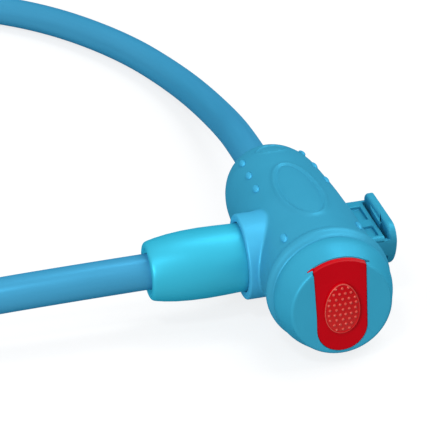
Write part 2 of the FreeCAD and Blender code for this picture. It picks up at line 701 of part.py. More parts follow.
seal = new_body("seal")
rod(seal, "x", s.seal_radius, (-s.boss_face, 0, 0), s.seal_thick)
rod(seal, "x", pin_bore, (-s.boss_face, 0, 0), s.seal_thick, cut=True)
finish(seal, "mouth_seal")

# connector on the cable's loose end
boot_start = s.boss_face + s.boot_gap
flange_end = boot_start + s.boot_step
TIP_BEVEL = 1.0
pin = new_body("pin")
turn(pin, "XY_Plane", [
    (s.pin_tip, 0),
    (s.pin_tip, s.pin_radius - TIP_BEVEL),
    (s.pin_tip - TIP_BEVEL, s.pin_radius),
    (s.groove_half, s.pin_radius),
    (s.groove_half, s.groove_radius),
    (-s.groove_half, s.groove_radius),
    (-s.groove_half, s.pin_radius),
    (-boot_start, s.pin_radius),
    (-boot_start, s.pin_flange_radius),
    (-flange_end, s.pin_flange_radius),
    (-flange_end, s.pin_root_radius),
    (-s.pin_root_end, s.pin_root_radius),
    (-s.pin_root_end, 0),
], "H_Axis")
finish(pin, "connector_pin")

core_bore = s.core_radius + s.cable_gap
sleeve_bore = s.cable_radius + s.cable_gap
end_crimp = new_body("end_crimp")
turn(end_crimp, "XY_Plane", [
    (-flange_end, s.pin_root_radius),
    (-flange_end, s.end_crimp_radius),
    (-s.end_crimp_end, s.end_crimp_radius),
    (-s.end_crimp_end, sleeve_bore),
    (s.cable_gap - s.sleeve_end, sleeve_bore),
    (s.cable_gap - s.sleeve_end, core_bore),
    (-s.pin_root_end, core_bore),
    (-s.pin_root_end, s.pin_root_radius),
], "H_Axis")
finish(end_crimp, "connector_ferrule")


def crown_radius(length, rise):
    """Radius of an arc that rises by rise over a length, level at its top."""
    return (length * length + rise * rise) / (rise * 2)


boot_start_radius = s.mouth_radius - s.boot_gap
front_crown = crown_radius(s.boot_belly - boot_start, s.boot_belly_radius - boot_start_radius)
rear_crown = crown_radius(boot_tail - s.boot_belly, s.boot_belly_radius - s.boot_tail_radius)
boot = new_body("boot")
turn(boot, "XY_Plane", [
    (-boot_start, boot_start_radius, front_crown),
    (-s.boot_belly, s.boot_belly_radius, rear_crown),
    (-boot_tail, s.boot_tail_radius, s.boot_end_round),
    (-s.boot_end, s.boot_tail_radius - s.boot_end_step),
    (-s.boot_end, sleeve_bore),
    (-s.end_crimp_end, sleeve_bore),
    (-s.end_crimp_end, s.end_crimp_radius),
    (-flange_end, s.end_crimp_radius),
    (-flange_end, s.pin_flange_radius),
    (-boot_start, s.pin_flange_radius),
], "H_Axis")
finish(boot, "connector_boot")

# crimped sleeve, cross pin and ring of the cable's fixed end
groove_low = s.cross_pin_back - s.cross_pin_radius
groove_high = s.cross_pin_back + s.cross_pin_radius
crimp = new_body("crimp")
turn(crimp, "XY_Plane", [
    (s.core_radius, s.crimp_front),
    (s.crimp_radius, s.crimp_front),
    (s.crimp_radius, groove_low),
    (s.crimp_radius - s.cross_pin_radius, groove_low),
    (s.crimp_radius - s.cross_pin_radius, groove_high),
    (s.crimp_radius, groove_high),
    (s.crimp_radius, s.crimp_rear),
    (s.cable_radius, s.crimp_rear),
    (s.cable_radius, s.sleeve_start),
    (s.core_radius, s.sleeve_start),
], "V_Axis")
finish(crimp, "body_ferrule")

cross_pin = new_body("cross_pin")
CROSS_PIN_SHARE = 0.8
cross_reach = s.cover_mid_radius * CROSS_PIN_SHARE - s.cover_wall
rod(cross_pin, "z", s.cross_pin_radius, (s.crimp_radius, s.cross_pin_back, -cross_reach), cross_reach * 2)
finish(cross_pin, "ferrule_pin")

gland = new_body("gland")
turn(gland, "XY_Plane", [
    (s.cable_radius, s.crimp_rear),
    (s.crimp_radius, s.crimp_rear),
    (s.crimp_radius, s.cover_rear),
    (s.gland_lip_radius, s.cover_rear),
    (s.gland_lip_radius - s.gland_lip / 2, gland_rear),
    (s.cable_radius, gland_rear),
], "V_Axis")
finish(gland, "rear_gland")

# cap in front of the bead, and the channel for the sliding cover
cap_back = s.cover_front + s.cap_gap
cap = new_body("cap")
turn(cap, "XY_Plane", [
    (0, -cap_face),
    (s.cap_edge_radius - s.cap_edge_inset, -cap_face, s.cap_edge_round),
    (s.cap_edge_radius, -cap_edge, s.cap_side_round),
    (s.cap_rear_radius, -cap_back),
    (s.spigot_radius, -cap_back),
    (s.spigot_radius, -cap_web),
    (0, -cap_web),
], "V_Axis")
channel_half = s.slide_half + s.slide_gap
flange_floor = channel_floor + s.fit_gap
groove_front = flange_floor + s.flange_thick + s.fit_gap
rod(cap, "y", s.keyhole_radius, (0, -channel_floor, 0), channel_floor - cap_web, cut=True)
block(cap, (-channel_half, channel_half), (-cap_face, -channel_floor),
      (-s.slide_bottom, s.cap_rear_radius), cut=True)
rod(cap, "y", channel_half, (0, -cap_face, -s.slide_bottom), cap_face - channel_floor, cut=True)
block(cap, (-s.flange_half - s.slide_gap, s.flange_half + s.slide_gap), (-groove_front, -channel_floor),
      (-s.slide_bottom - s.slide_gap, s.cap_rear_radius), cut=True)
leaf_floor = channel_floor - s.leaf_thick - s.leaf_rise
block(cap, (-s.leaf_half - s.slide_gap, s.leaf_half + s.slide_gap), (-channel_floor, -leaf_floor),
      (s.leaf_low - s.slide_gap, s.leaf_high + s.slide_gap), cut=True)
finish(cap, "front_cap")

# red sliding cover, its top end shaped like the cap's side
slide_front = cap_face - s.slide_sink
slide = new_body("slide")
block(slide, (-s.slide_half, s.slide_half), (-slide_front, -flange_floor),
      (-s.slide_bottom, s.cap_rear_radius))
rod(slide, "y", s.slide_half, (0, -slide_front, -s.slide_bottom), slide_front - flange_floor)
block(slide, (-s.flange_half, s.flange_half), (-flange_floor - s.flange_thick, -flange_floor),
      (-s.slide_bottom, s.cap_rear_radius))
trim = s.cap_rear_radius * 2
turn(slide, "XY_Plane", [
    (trim, -cap_back),
    (s.cap_rear_radius, -cap_back, -s.cap_side_round),
    (s.cap_edge_radius, -cap_edge),
    (s.cap_edge_radius, -cap_face),
    (trim, -cap_face),
], "V_Axis", cut=True)
thumb = slide.newObject("PartDesign::AdditiveEllipsoid", "ThumbPad")
bind(thumb, "Radius1", s.thumb_tall)
bind(thumb, "Radius2", s.thumb_half)
bind(thumb, "Radius3", s.thumb_rise)
move(thumb, (0, -slide_front, 0))
finish(slide, "dust_cover")

leaf = new_body("leaf")
leaf_half_length = (s.leaf_high - s.leaf_low) / 2
leaf_round = crown_radius(leaf_half_length, s.leaf_rise)
pull(leaf, "YZ_Plane", [
    (-leaf_floor, s.leaf_low, -leaf_round),
    (-leaf_floor, s.leaf_high),
    (-leaf_floor - s.leaf_thick, s.leaf_high, leaf_round),
    (-leaf_floor - s.leaf_thick, s.leaf_low),
], -s.leaf_half, s.leaf_half * 2)
finish(leaf, "cover_spring")

cap_ring = new_body("cap_ring")
ring_body = cap_ring.newObject("PartDesign::AdditiveTorus", "Ring")
bind(ring_body, "Radius1", s.spigot_radius - s.ring_round)
bind(ring_body, "Radius2", s.ring_round)
move(ring_body, (0, -s.ring_back, 0), TURNS["y"])
finish(cap_ring, "cap_seal")

# foot on the right side
plate_inner = s.foot_outer - s.foot_plate_thick
base_outer = plate_inner - s.foot_slot
wall_rear = s.foot_front_wall - s.foot_front
tongue = [
    (plate_inner + s.tongue_notch, -s.tongue_root),
    (base_outer + s.tongue_gap, -s.tongue_tip),
    (base_outer + s.tongue_bend_gap, s.tongue_bend),
    (plate_inner, s.tongue_start),
]
foot = new_body("foot")
pull(foot, "YZ_Plane", foot_outline(s.foot_plate_top, s.foot_rear_round, s.foot_front_round), plate_inner,
     s.foot_plate_thick)
pull(foot, "YZ_Plane", foot_outline(s.foot_top, s.foot_base_round, s.foot_base_round), s.crimp_radius,
     plate_inner - s.crimp_radius)
pull(foot, "XY_Plane", [
    (base_outer, wall_rear),
    (plate_inner, wall_rear),
    (plate_inner, -s.tongue_open),
] + tongue + [
    (plate_inner, s.slot_rear),
    (base_outer, s.slot_rear),
], s.foot_plate_top, s.foot_plate_top + s.foot_low, cut=True)
pull(foot, "XY_Plane", tongue, s.foot_top, s.tongue_top - s.foot_top)
block(foot, (base_outer, plate_inner), (-s.foot_front, wall_rear), (s.foot_wall_top, s.foot_top), cut=True)
turn(foot, "XY_Plane", head_outline(s.cover_wall), "V_Axis", cut=True)
POCKET_LENGTHS = (s.foot_pocket_long, s.foot_pocket_short)
for i, long in enumerate(POCKET_LENGTHS):
    rear = s.foot_pocket_rear - s.foot_pocket_step * i
    block(foot, (s.cover_waist_radius * 0.9, base_outer - s.foot_rib), (rear - long, rear),
          (s.foot_pocket_low, s.foot_top), cut=True)
for back in SCREW_PLACES:
    rod(foot, "x", s.screw_radius, (s.crimp_radius, back, -s.screw_low),
        s.screw_reach - s.crimp_radius, cut=True)
finish(foot, "mounting_foot")

grubs = []
grub_length = s.cover_front_radius - s.cover_wall - grub_tip - s.fit_gap * 5
for low in (grub_tip, -grub_tip - grub_length):
    grubs.append(primitive_rod("z", s.grub_radius, (0, -s.grub_back, low), grub_length))
group(grubs, "barrel_screws")

screws = []
for back in SCREW_PLACES:
    head = primitive_rod("x", s.screw_head_radius, (head_front, back, -s.screw_low), s.screw_head)
    shank = primitive_rod("x", s.screw_radius, (head_front, back, -s.screw_low), s.screw_reach - head_front)
    screws.append(fused([head, shank]))
group(screws, "foot_screws")

# the cable's route about the crossing of the axes: straight out of the head, down to the ground, round in
# one loop and back up into the connector. The height of a cable that lies on the ground is -14.85.
ROUTE = (
    (0, 34, 0),
    (0, 80, 0),
    (1.5, 126, -8.5),
    (-3.5, 178, -14.6),
    (-18.7, 222, -14.85),
    (-45.7, 263.7, -14.85),
    (-81, 291.5, -14.85),
    (-127, 300, -14.85),
    (-171, 285, -14.85),
    (-205, 252, -14.85),
    (-225, 207, -14.85),
    (-230, 158, -14.85),
    (-224, 110, -14.85),
    (-207, 66, -14),
    (-177, 28, -10),
    (-134, 5, -4),
    (-88, 0, 0),
    (-40, 0, 0),
)
ARC_SHARE = 0.45


def tube_path(points):
    """Straight runs joined by tangent arcs; returns the edges and the arcs' radii."""
    points = [V(*point) for point in points]
    edges = []
    radii = []
    place = points[0]
    for before, corner, after in zip(points, points[1:], points[2:]):
        come = (corner - before).normalize()
        go = (after - corner).normalize()
        cut = ARC_SHARE * min((corner - before).Length, (after - corner).Length)
        half_turn = come.getAngle(go) / 2
        radius = cut / math.tan(half_turn)
        start = corner - come * cut
        end = corner + go * cut
        inward = (go - come).normalize()
        middle = corner + inward * (radius / math.cos(half_turn) - radius)
        edges.append(Part.LineSegment(place, start).toShape())
        edges.append(Part.Arc(start, middle, end).toShape())
        radii.append(radius)
        place = end
    edges.append(Part.LineSegment(place, points[-1]).toShape())
    return edges, radii


def tube(edges, radius):
    """Round tube along edges, compared with its section times its length."""
    path = Part.Wire(edges)
    start = edges[0].Vertexes[0].Point
    way = edges[0].Vertexes[-1].Point - start
    section = Part.Wire(Part.makeCircle(radius, start, way))
    solid = path.makePipeShell([section], True, False)
    expected = math.pi * radius * radius * path.Length
    print("tube radius", radius, "volume ratio", round(solid.Volume / expected, 5))
    return solid


cable_edges, cable_radii = tube_path(ROUTE)
print("cable length", round(sum(edge.Length for edge in cable_edges), 1))
print("bend radii", [round(radius) for radius in cable_radii])
head_end = V(0, s.core_start.value, 0)
loose_end = V(-s.core_end.value, 0, 0)
core_edges = [Part.LineSegment(head_end, V(*ROUTE[0])).toShape()] + cable_edges
core_edges.append(Part.LineSegment(V(*ROUTE[-1]), loose_end).toShape())
core = tube(core_edges, s.core_radius.value)
sleeve = tube(cable_edges, s.cable_radius.value).cut(core)
plain(sleeve, "cable_sleeve")
plain(core, "cable_core")

document.recompute()
for thing in document.Objects:
    if "Invalid" in thing.State or "Error" in thing.State:
        raise RuntimeError("%s failed: %s" % (thing.Label, thing.State))
for body in document.Objects:
    if body.TypeId != "PartDesign::Body":
        continue
    last = 0.0
    for feature in body.Group:
        if not hasattr(feature, "AddSubShape"):
            continue
        if abs(feature.Shape.Volume - last) < 1e-4:
            raise RuntimeError("%s in %s changes nothing" % (feature.Name, body.Label))
        last = feature.Shape.Volume
for part in subparts:
    if part.Shape.isNull() or not part.Shape.isValid() or not part.Shape.Solids:
        raise RuntimeError("%s has no valid shape" % part.Label)

os.makedirs("parts", exist_ok=True)
for part in subparts:
    part.Shape.exportStep(os.path.join("parts", part.Label + ".step"))
print(len(subparts), "nodes written")
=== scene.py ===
import math

import bmesh
import bpy
from mathutils import Matrix, Vector


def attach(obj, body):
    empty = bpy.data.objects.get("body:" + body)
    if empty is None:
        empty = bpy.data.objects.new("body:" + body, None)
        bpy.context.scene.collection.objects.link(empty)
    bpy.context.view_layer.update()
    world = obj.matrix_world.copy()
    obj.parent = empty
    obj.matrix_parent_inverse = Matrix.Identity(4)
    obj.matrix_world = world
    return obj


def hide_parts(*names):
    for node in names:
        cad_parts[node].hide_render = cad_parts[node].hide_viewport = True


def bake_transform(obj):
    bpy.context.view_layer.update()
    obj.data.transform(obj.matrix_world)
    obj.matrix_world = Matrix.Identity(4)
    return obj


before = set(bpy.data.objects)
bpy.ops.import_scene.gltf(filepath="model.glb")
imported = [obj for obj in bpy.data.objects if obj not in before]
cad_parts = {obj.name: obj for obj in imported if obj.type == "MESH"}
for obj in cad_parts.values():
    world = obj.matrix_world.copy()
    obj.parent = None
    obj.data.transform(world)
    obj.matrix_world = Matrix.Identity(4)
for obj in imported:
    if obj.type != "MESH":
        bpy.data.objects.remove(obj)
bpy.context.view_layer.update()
scene = bpy.context.scene

# Lengths are millimetres about the crossing of the lock's axis (Y) and the socket's axis (X).
mm = 0.001
crossing = Vector((-2.65, -6.8, 20.85))
weld = 0.002  # points nearer than this are one
overrun = 1  # how far a cutter goes past what it cuts


def place(x, y, z):
    return (Vector((x, y, z)) + crossing) * mm


# The photograph's angle, fitted to the outlines of bead, cap, socket and cable.
cameraView = {
    "azimuth": -12.34,
    "elevation": 27.47,
    "roll": -2.9,
    "focal": 200.93,  # mm
    "sensor": 36,  # mm
    "offset": (30.22, 10.6, 800.38),  # mm, right, up and back
    "farthest": 20,  # m
}


def addCamera(view):
    azimuth, elevation, roll = [math.radians(view[key]) for key in ("azimuth", "elevation", "roll")]
    back = Vector((math.sin(azimuth) * math.cos(elevation),
                   -math.cos(azimuth) * math.cos(elevation), math.sin(elevation)))
    level = Vector((math.cos(azimuth), math.sin(azimuth), 0))
    upright = back.cross(level)
    right = math.cos(roll) * level + math.sin(roll) * upright
    up = -math.sin(roll) * level + math.cos(roll) * upright
    across, high, away = view["offset"]
    centre = right * -across + up * high + back * away
    camera = bpy.data.objects.new("camera", bpy.data.cameras.new("camera"))
    camera.data.lens = view["focal"]
    camera.data.sensor_width = view["sensor"]
    camera.data.clip_end = view["farthest"]
    turned = Matrix((right, up, back)).transposed().to_4x4()
    camera.matrix_world = Matrix.Translation(place(*centre)) @ turned
    scene.collection.objects.link(camera)
    scene.camera = camera


addCamera(cameraView)
print("camera set")


def link(name, mesh):
    piece = bpy.data.objects.new(name, mesh)
    scene.collection.objects.link(piece)
    return piece


def edit(mesh, change):
    net = bmesh.new()
    net.from_mesh(mesh)
    change(net)
    net.to_mesh(mesh)
    net.free()


def faceOutwards(net):
    bmesh.ops.recalc_face_normals(net, faces=net.faces)


def addMesh(name, points, faces):
    mesh = bpy.data.meshes.new(name)
    mesh.from_pydata([place(*p) for p in points], [], faces)
    edit(mesh, lambda net: bmesh.ops.remove_doubles(net, verts=net.verts, dist=weld * mm))
    edit(mesh, faceOutwards)
    return link(name, mesh)


def roundCorners(corners, arcSteps):
    # closed outline through (a, b) or (a, b, radius)
    outline = []
    for i, corner in enumerate(corners):
        here = Vector(corner[:2])
        radius = corner[2] if len(corner) > 2 else 0
        if not radius:
            outline.append(tuple(here))
            continue
        come = (Vector(corners[i - 1][:2]) - here).normalized()
        go = (Vector(corners[(i + 1) % len(corners)][:2]) - here).normalized()
        half = come.angle(go) / 2
        centre = here + (come + go).normalized() * (radius / math.sin(half))
        first = here + come * (radius / math.tan(half)) - centre
        last = here + go * (radius / math.tan(half)) - centre
        start = math.atan2(first.y, first.x)
        swing = (math.atan2(last.y, last.x) - start + math.pi) % (2 * math.pi) - math.pi
        for k in range(arcSteps + 1):
            angle = start + swing * k / arcSteps
            outline.append((centre.x + radius * math.cos(angle), centre.y + radius * math.sin(angle)))
    return outline


def ringFaces(rings, count):
    # faces between neighbouring rings of points, of which the last meets the first
    total = rings * count
    faces = []
    for i in range(rings):
        for j in range(count):
            a, b = i * count + j, i * count + (j + 1) % count
            faces.append((a, b, (b + count) % total, (a + count) % total))
    return faces


def lathe(name, profile, axis, steps):
    # turns a closed profile of (along, radius) about the lock's or the socket's axis
    count = len(profile)
    points = []
    for i in range(steps):
        angle = 2 * math.pi * i / steps
        for along, radius in profile:
            side, top = radius * math.sin(angle), radius * math.cos(angle)
            points.append((side, along, top) if axis == "y" else (along, side, top))
    faces = [face for face in ringFaces(steps, count)
             if profile[face[0] % count][1] or profile[face[1] % count][1]]
    return addMesh(name, points, faces)


def rod(name, radius, ends, axis, steps):
    low, high = ends
    return lathe(name, [(low, 0), (low, radius), (high, radius), (high, 0)], axis, steps)


def extrude(name, outline, axis, low, high):
    # the outline is (y, z) for x, (x, z) for y and (x, y) for z
    def at(a, b, h):
        return {"x": (h, a, b), "y": (a, h, b), "z": (a, b, h)}[axis]

    count = len(outline)
    points = [at(a, b, low) for a, b in outline] + [at(a, b, high) for a, b in outline]
    faces = [tuple(range(count)), tuple(range(count, 2 * count))]
    faces += [(i, (i + 1) % count, (i + 1) % count + count, i + count) for i in range(count)]
    return addMesh(name, points, faces)


def roundedPlate(name, outline, low, high, radii, steps=6):
    # a plate square to x whose rim is rounded on both sides; the outline is (y, z) and bulges outwards
    count = len(outline)
    turned = sum(outline[i - 1][0] * outline[i][1] - outline[i][0] * outline[i - 1][1] for i in range(count))
    rings = []
    for radius, face, way in ((radii[0], low, 1), (radii[1], high, -1)):
        turns = [math.pi / 2 * k / steps for k in range(steps + 1)]
        side = [(radius * (1 - math.sin(t)), face + way * radius * (1 - math.cos(t))) for t in turns]
        rings += side if way > 0 else side[::-1]
    points = []
    for inset, x in rings:
        for i in range(count):
            here = Vector(outline[i])
            come = (here - Vector(outline[i - 1])).normalized()
            go = (Vector(outline[(i + 1) % count]) - here).normalized()
            along = (come + go).normalized()
            inward = Vector((-along.y, along.x)) * (1 if turned > 0 else -1)
            here += inward * inset / max(math.cos(come.angle(go) / 2), 0.5)
            points.append((x, here.x, here.y))
    last = (len(rings) - 1) * count
    faces = [(j + i, j + (i + 1) % count, j + count + (i + 1) % count, j + count + i)
             for j in range(0, last, count) for i in range(count)]
    faces += [tuple(range(count)), tuple(range(last, last + count))]
    return addMesh(name, points, faces)


def slab(name, x, y, z):
    return extrude(name, [(x[0], y[0]), (x[1], y[0]), (x[1], y[1]), (x[0], y[1])], "z", z[0], z[1])


def bake(piece):
    # the evaluated mesh takes the place of the piece's own, and its modifiers go
    seen = piece.evaluated_get(bpy.context.evaluated_depsgraph_get())
    mesh = bpy.data.meshes.new_from_object(seen)
    old = piece.data
    piece.modifiers.clear()
    piece.data = mesh
    bpy.data.meshes.remove(old)
    mesh.name = piece.name
    return piece


def combine(piece, tool, operation="DIFFERENCE"):
    joint = piece.modifiers.new("combine", "BOOLEAN")
    joint.operation = operation
    joint.solver = "EXACT"
    joint.object = tool
    bake(piece)
    bpy.data.objects.remove(tool)


def soften(piece, width, limit=35, segments=2, where=None):
    # rounds the hard edges, or only those whose middle, in mm, passes the given test
    edges = piece.modifiers.new("soften", "BEVEL")
    edges.width = width * mm
    edges.segments = segments
    edges.limit_method = "ANGLE"
    edges.angle_limit = math.radians(limit)
    edges.harden_normals = False

    def weigh(net):
        weights = net.edges.layers.float.new("bevel_weight_edge")
        for edge in net.edges:
            middle = (edge.verts[0].co + edge.verts[1].co) / (2 * mm) - crossing
            hard = len(edge.link_faces) == 2 and edge.calc_face_angle(0) > math.radians(limit)
            edge[weights] = 1 if hard and where(middle) else 0

    if where:
        edit(piece.data, weigh)
        edges.limit_method = "WEIGHT"
        edges.use_clamp_overlap = False
    return bake(piece)


def shade(piece, sharp=40, flatFaces=False):
    # smooth faces, with a hard line only where two faces meet at more than the given angle
    def harden(net):
        for edge in net.edges:
            edge.smooth = len(edge.link_faces) == 2 and edge.calc_face_angle(0) < math.radians(sharp)

    piece.data.shade_smooth()
    edit(piece.data, harden)
    if flatFaces:
        # large flat faces keep their own direction, and only the small rounded ones turn
        weigh = piece.modifiers.new("weigh", "WEIGHTED_NORMAL")
        weigh.keep_sharp = True
        bake(piece)
    return piece


def settle(piece, material, body, slot, *stoodFor):
    piece.data.materials.clear()
    piece.data.materials.append(material)
    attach(piece, body)
    if stoodFor:
        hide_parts(*stoodFor)


def linear(code):
    channels = [int(code[i:i + 2], 16) / 255 for i in (1, 3, 5)]
    return [c / 12.92 if c <= 0.04045 else ((c + 0.055) / 1.055) ** 2.4 for c in channels] + [1.0]


def addNode(tree, kind, inputs=None, **settings):
    node = tree.nodes.new(kind)
    for key, value in settings.items():
        setattr(node, key, value)
    for key, value in (inputs or {}).items():
        if isinstance(value, bpy.types.NodeSocket):
            tree.links.new(value, node.inputs[key])
        else:
            node.inputs[key].default_value = value
    return node


def perMetre(size):
    return 1000 / size


def blankMaterial(name):
    material = bpy.data.materials.new(name)
    material.use_nodes = True
    material.node_tree.nodes.clear()
    return material, material.node_tree


def finishSurface(tree, look, tones, marks, nature):
    # one pattern blends the two colours, the other breaks up the gloss and stands out a little
    marks = marks.outputs["Fac"]
    tone = addNode(tree, "ShaderNodeMix", {0: tones.outputs["Fac"], 6: linear(look["deep"]),
                                           7: linear(look["bright"])}, data_type="RGBA")
    # a lighter tone, mixed in by the paintedLight attribute, is painted highlight and painted reflection
    if "highlit" in look:
        paintedLight = addNode(tree, "ShaderNodeAttribute", attribute_name="paintedLight")
        tone = addNode(tree, "ShaderNodeMix", {0: paintedLight.outputs["Fac"], 6: tone.outputs[2],
                                               7: linear(look["highlit"])}, data_type="RGBA")
    gloss = addNode(tree, "ShaderNodeMapRange", {"Value": marks, "From Min": 0.3, "From Max": 0.7,
                                                 "To Min": look["gloss"][0], "To Max": look["gloss"][1]})
    relief = addNode(tree, "ShaderNodeBump", {"Height": marks, "Strength": look["relief"],
                                              "Distance": look["depth"] * mm})
    shader = addNode(tree, "ShaderNodeBsdfPrincipled", {
        "Base Color": tone.outputs[2], "Roughness": gloss.outputs[0], "Normal": relief.outputs[0], **nature})
    addNode(tree, "ShaderNodeOutputMaterial", {"Surface": shader.outputs[0]})


def plasticNature(look):
    # a pearl pigment is a small metallic share, whose sheen has its own tint
    return {"IOR": look["ior"], "Specular IOR Level": look["shine"], "Metallic": look.get("sheen", 0.0),
            "Specular Tint": linear(look.get("sheenTint", "#FFFFFF"))}


def mouldedPlastic(name, look):
    # A tone that drifts slowly, fine spark-eroded grain in the bump, and a gloss that the grain breaks up.
    material, tree = blankMaterial(name)
    where = addNode(tree, "ShaderNodeTexCoord").outputs["Object"]
    drift = addNode(tree, "ShaderNodeTexNoise", {"Vector": where, "Scale": perMetre(look["driftSize"]),
                                                 "Detail": 2.0})
    grain = addNode(tree, "ShaderNodeTexNoise", {"Vector": where, "Scale": perMetre(look["grainSize"]),
                                                 "Detail": 3.0, "Roughness": 0.6})
    finishSurface(tree, look, drift, grain, plasticNature(look))
    return material


def turnedMetal(name, look):
    # Fine rings left by the tool: the pattern is stretched round the chosen axis, and lights up in streaks.
    material, tree = blankMaterial(name)
    where = addNode(tree, "ShaderNodeTexCoord").outputs["Object"]
    squeeze = addNode(tree, "ShaderNodeMapping", {"Vector": where, "Scale": look["stretch"]})
    marks = addNode(tree, "ShaderNodeTexNoise", {
        "Vector": squeeze.outputs[0], "Scale": perMetre(look["markSize"]), "Detail": 4.0, "Roughness": 0.65})
    finishSurface(tree, look, marks, marks, {"Metallic": 1.0})
    return material


def extrudedSleeve(name, look):
    # Vinyl drawn through a die: faint lines, some centimetres long, run along the cable.
    material, tree = blankMaterial(name)
    around = addNode(tree, "ShaderNodeUVMap", uv_map="sleeve").outputs[0]
    squeeze = addNode(tree, "ShaderNodeMapping", {"Vector": around, "Scale": look["lineCounts"]})
    lines = addNode(tree, "ShaderNodeTexNoise", {"Vector": squeeze.outputs[0], "Scale": 1.0, "Detail": 3.0})
    finishSurface(tree, look, lines, lines, plasticNature(look))
    return material


# Soft rubbery skin moulded over the head: matte and even. Its pearly pigment tints the sheen, so the light on
# its ridges stays blue and its turned-away sides stay deep. Its lighter tone paints a highlight on the
# collar.
softRubber = mouldedPlastic("soft_rubber_moulded_pearl_blue", {
    "deep": "#3B9ABC", "bright": "#41A1C4", "driftSize": 14, "grainSize": 0.35, "depth": 0.02,
    "relief": 0.2, "gloss": (0.38, 0.46), "ior": 1.5, "shine": 0.0, "sheen": 0.2, "sheenTint": "#4FA9CC",
    "highlit": "#49B1DB"})
# The dots are the skin's rubber with a little more sheen; their lighter colour is a painted highlight.
dotRubberHighlit = mouldedPlastic("soft_rubber_pearl_blue_painted_highlight", {
    "deep": "#42AAD4", "bright": "#48B0DA", "driftSize": 14, "grainSize": 0.5, "depth": 0.006,
    "relief": 0.05, "gloss": (0.42, 0.48), "ior": 1.5, "shine": 0.0, "sheen": 0.24, "sheenTint": "#4FA9CC"})
# Hard cap in the same blue: satin, so its front edge draws a soft light line.
capPlastic = mouldedPlastic("abs_moulded_satin_pearl_blue", {
    "deep": "#379EBF", "bright": "#3DA5C7", "driftSize": 12, "grainSize": 0.3, "depth": 0.015,
    "relief": 0.15, "gloss": (0.36, 0.46), "ior": 1.53, "shine": 0.0, "sheen": 0.2, "sheenTint": "#4FA9CC"})
# Red slide: polished and saturated. Its upper front edge, pad rim and bumps carry painted highlights,
# and the lower part of the pad's crown a faint painted reflection.
coverPlastic = mouldedPlastic("acetal_moulded_red", {
    "deep": "#BD0010", "bright": "#C90014", "driftSize": 8, "grainSize": 0.25, "depth": 0.012,
    "relief": 0.06, "gloss": (0.2, 0.28), "ior": 1.48, "shine": 0.2, "sheen": 0.1, "sheenTint": "#FF8080",
    "highlit": "#EE8A78"})
# The bumps' lighter red is a painted highlight.
bumpPlasticHighlit = mouldedPlastic("acetal_red_painted_highlight", {
    "deep": "#D54438", "bright": "#DB4E42", "driftSize": 8, "grainSize": 0.25, "depth": 0.012,
    "relief": 0.06, "gloss": (0.2, 0.28), "ior": 1.48, "shine": 0.4})
# Connector barrel: brighter and glossier than the head, with a long soft reflection.
bootPlastic = mouldedPlastic("abs_polished_pearl_cyan", {
    "deep": "#37AFCC", "bright": "#3DB6D4", "driftSize": 16, "grainSize": 0.5, "depth": 0.006,
    "relief": 0.02, "gloss": (0.42, 0.46), "ior": 1.53, "shine": 0.0, "sheen": 0.38, "sheenTint": "#4FB4CC"})
shellPlastic = mouldedPlastic("nylon_moulded_black", {
    "deep": "#1B1D20", "bright": "#24272B", "driftSize": 6, "grainSize": 0.25, "depth": 0.02,
    "relief": 0.3, "gloss": (0.42, 0.6), "ior": 1.53, "shine": 0.4})
sealRubber = mouldedPlastic("nitrile_moulded_black", {
    "deep": "#131415", "bright": "#1C1D1F", "driftSize": 3, "grainSize": 0.2, "depth": 0.02,
    "relief": 0.25, "gloss": (0.55, 0.7), "ior": 1.52, "shine": 0.4})
brightSteel = turnedMetal("steel_nickel_plated_turned", {
    "deep": "#B9BCC0", "bright": "#D9DBDE", "stretch": (6.0, 1.0, 1.0), "markSize": 1.5, "depth": 0.006,
    "relief": 0.3, "gloss": (0.16, 0.3)})
strandSteel = turnedMetal("steel_strand_drawn", {
    "deep": "#8C8F93", "bright": "#B4B7BA", "stretch": (1.0, 1.0, 1.0), "markSize": 0.6, "depth": 0.02,
    "relief": 0.5, "gloss": (0.3, 0.45)})
springSteel = turnedMetal("spring_steel_drawn", {
    "deep": "#9A9CA0", "bright": "#C2C4C7", "stretch": (1.0, 1.0, 3.0), "markSize": 0.4, "depth": 0.004,
    "relief": 0.3, "gloss": (0.22, 0.36)})
lockBrass = turnedMetal("brass_turned", {
    "deep": "#C79A4B", "bright": "#E0B869", "stretch": (1.0, 6.0, 1.0), "markSize": 1.2, "depth": 0.006,
    "relief": 0.3, "gloss": (0.2, 0.34)})
zincCasting = turnedMetal("zinc_die_cast", {
    "deep": "#8E9196", "bright": "#A9ACB1", "stretch": (1.0, 1.0, 1.0), "markSize": 0.8, "depth": 0.02,
    "relief": 0.4, "gloss": (0.36, 0.52)})
screwSteel = turnedMetal("steel_zinc_plated_rolled", {
    "deep": "#A4A8AE", "bright": "#C9CDD2", "stretch": (4.0, 1.0, 1.0), "markSize": 0.5, "depth": 0.006,
    "relief": 0.3, "gloss": (0.22, 0.36)})
# Cable sleeve: smooth and evenly bright along its whole length.
sleeveVinyl = extrudedSleeve("vinyl_extruded_gloss_pearl_blue", {
    "deep": "#4096BE", "bright": "#469DC6", "lineCounts": (14.0, 3.0, 1.0), "depth": 0.02, "relief": 0.15,
    "gloss": (0.32, 0.38), "ior": 1.53, "shine": 0.0, "sheen": 0.25, "sheenTint": "#4FA4C8"})
print("materials made")

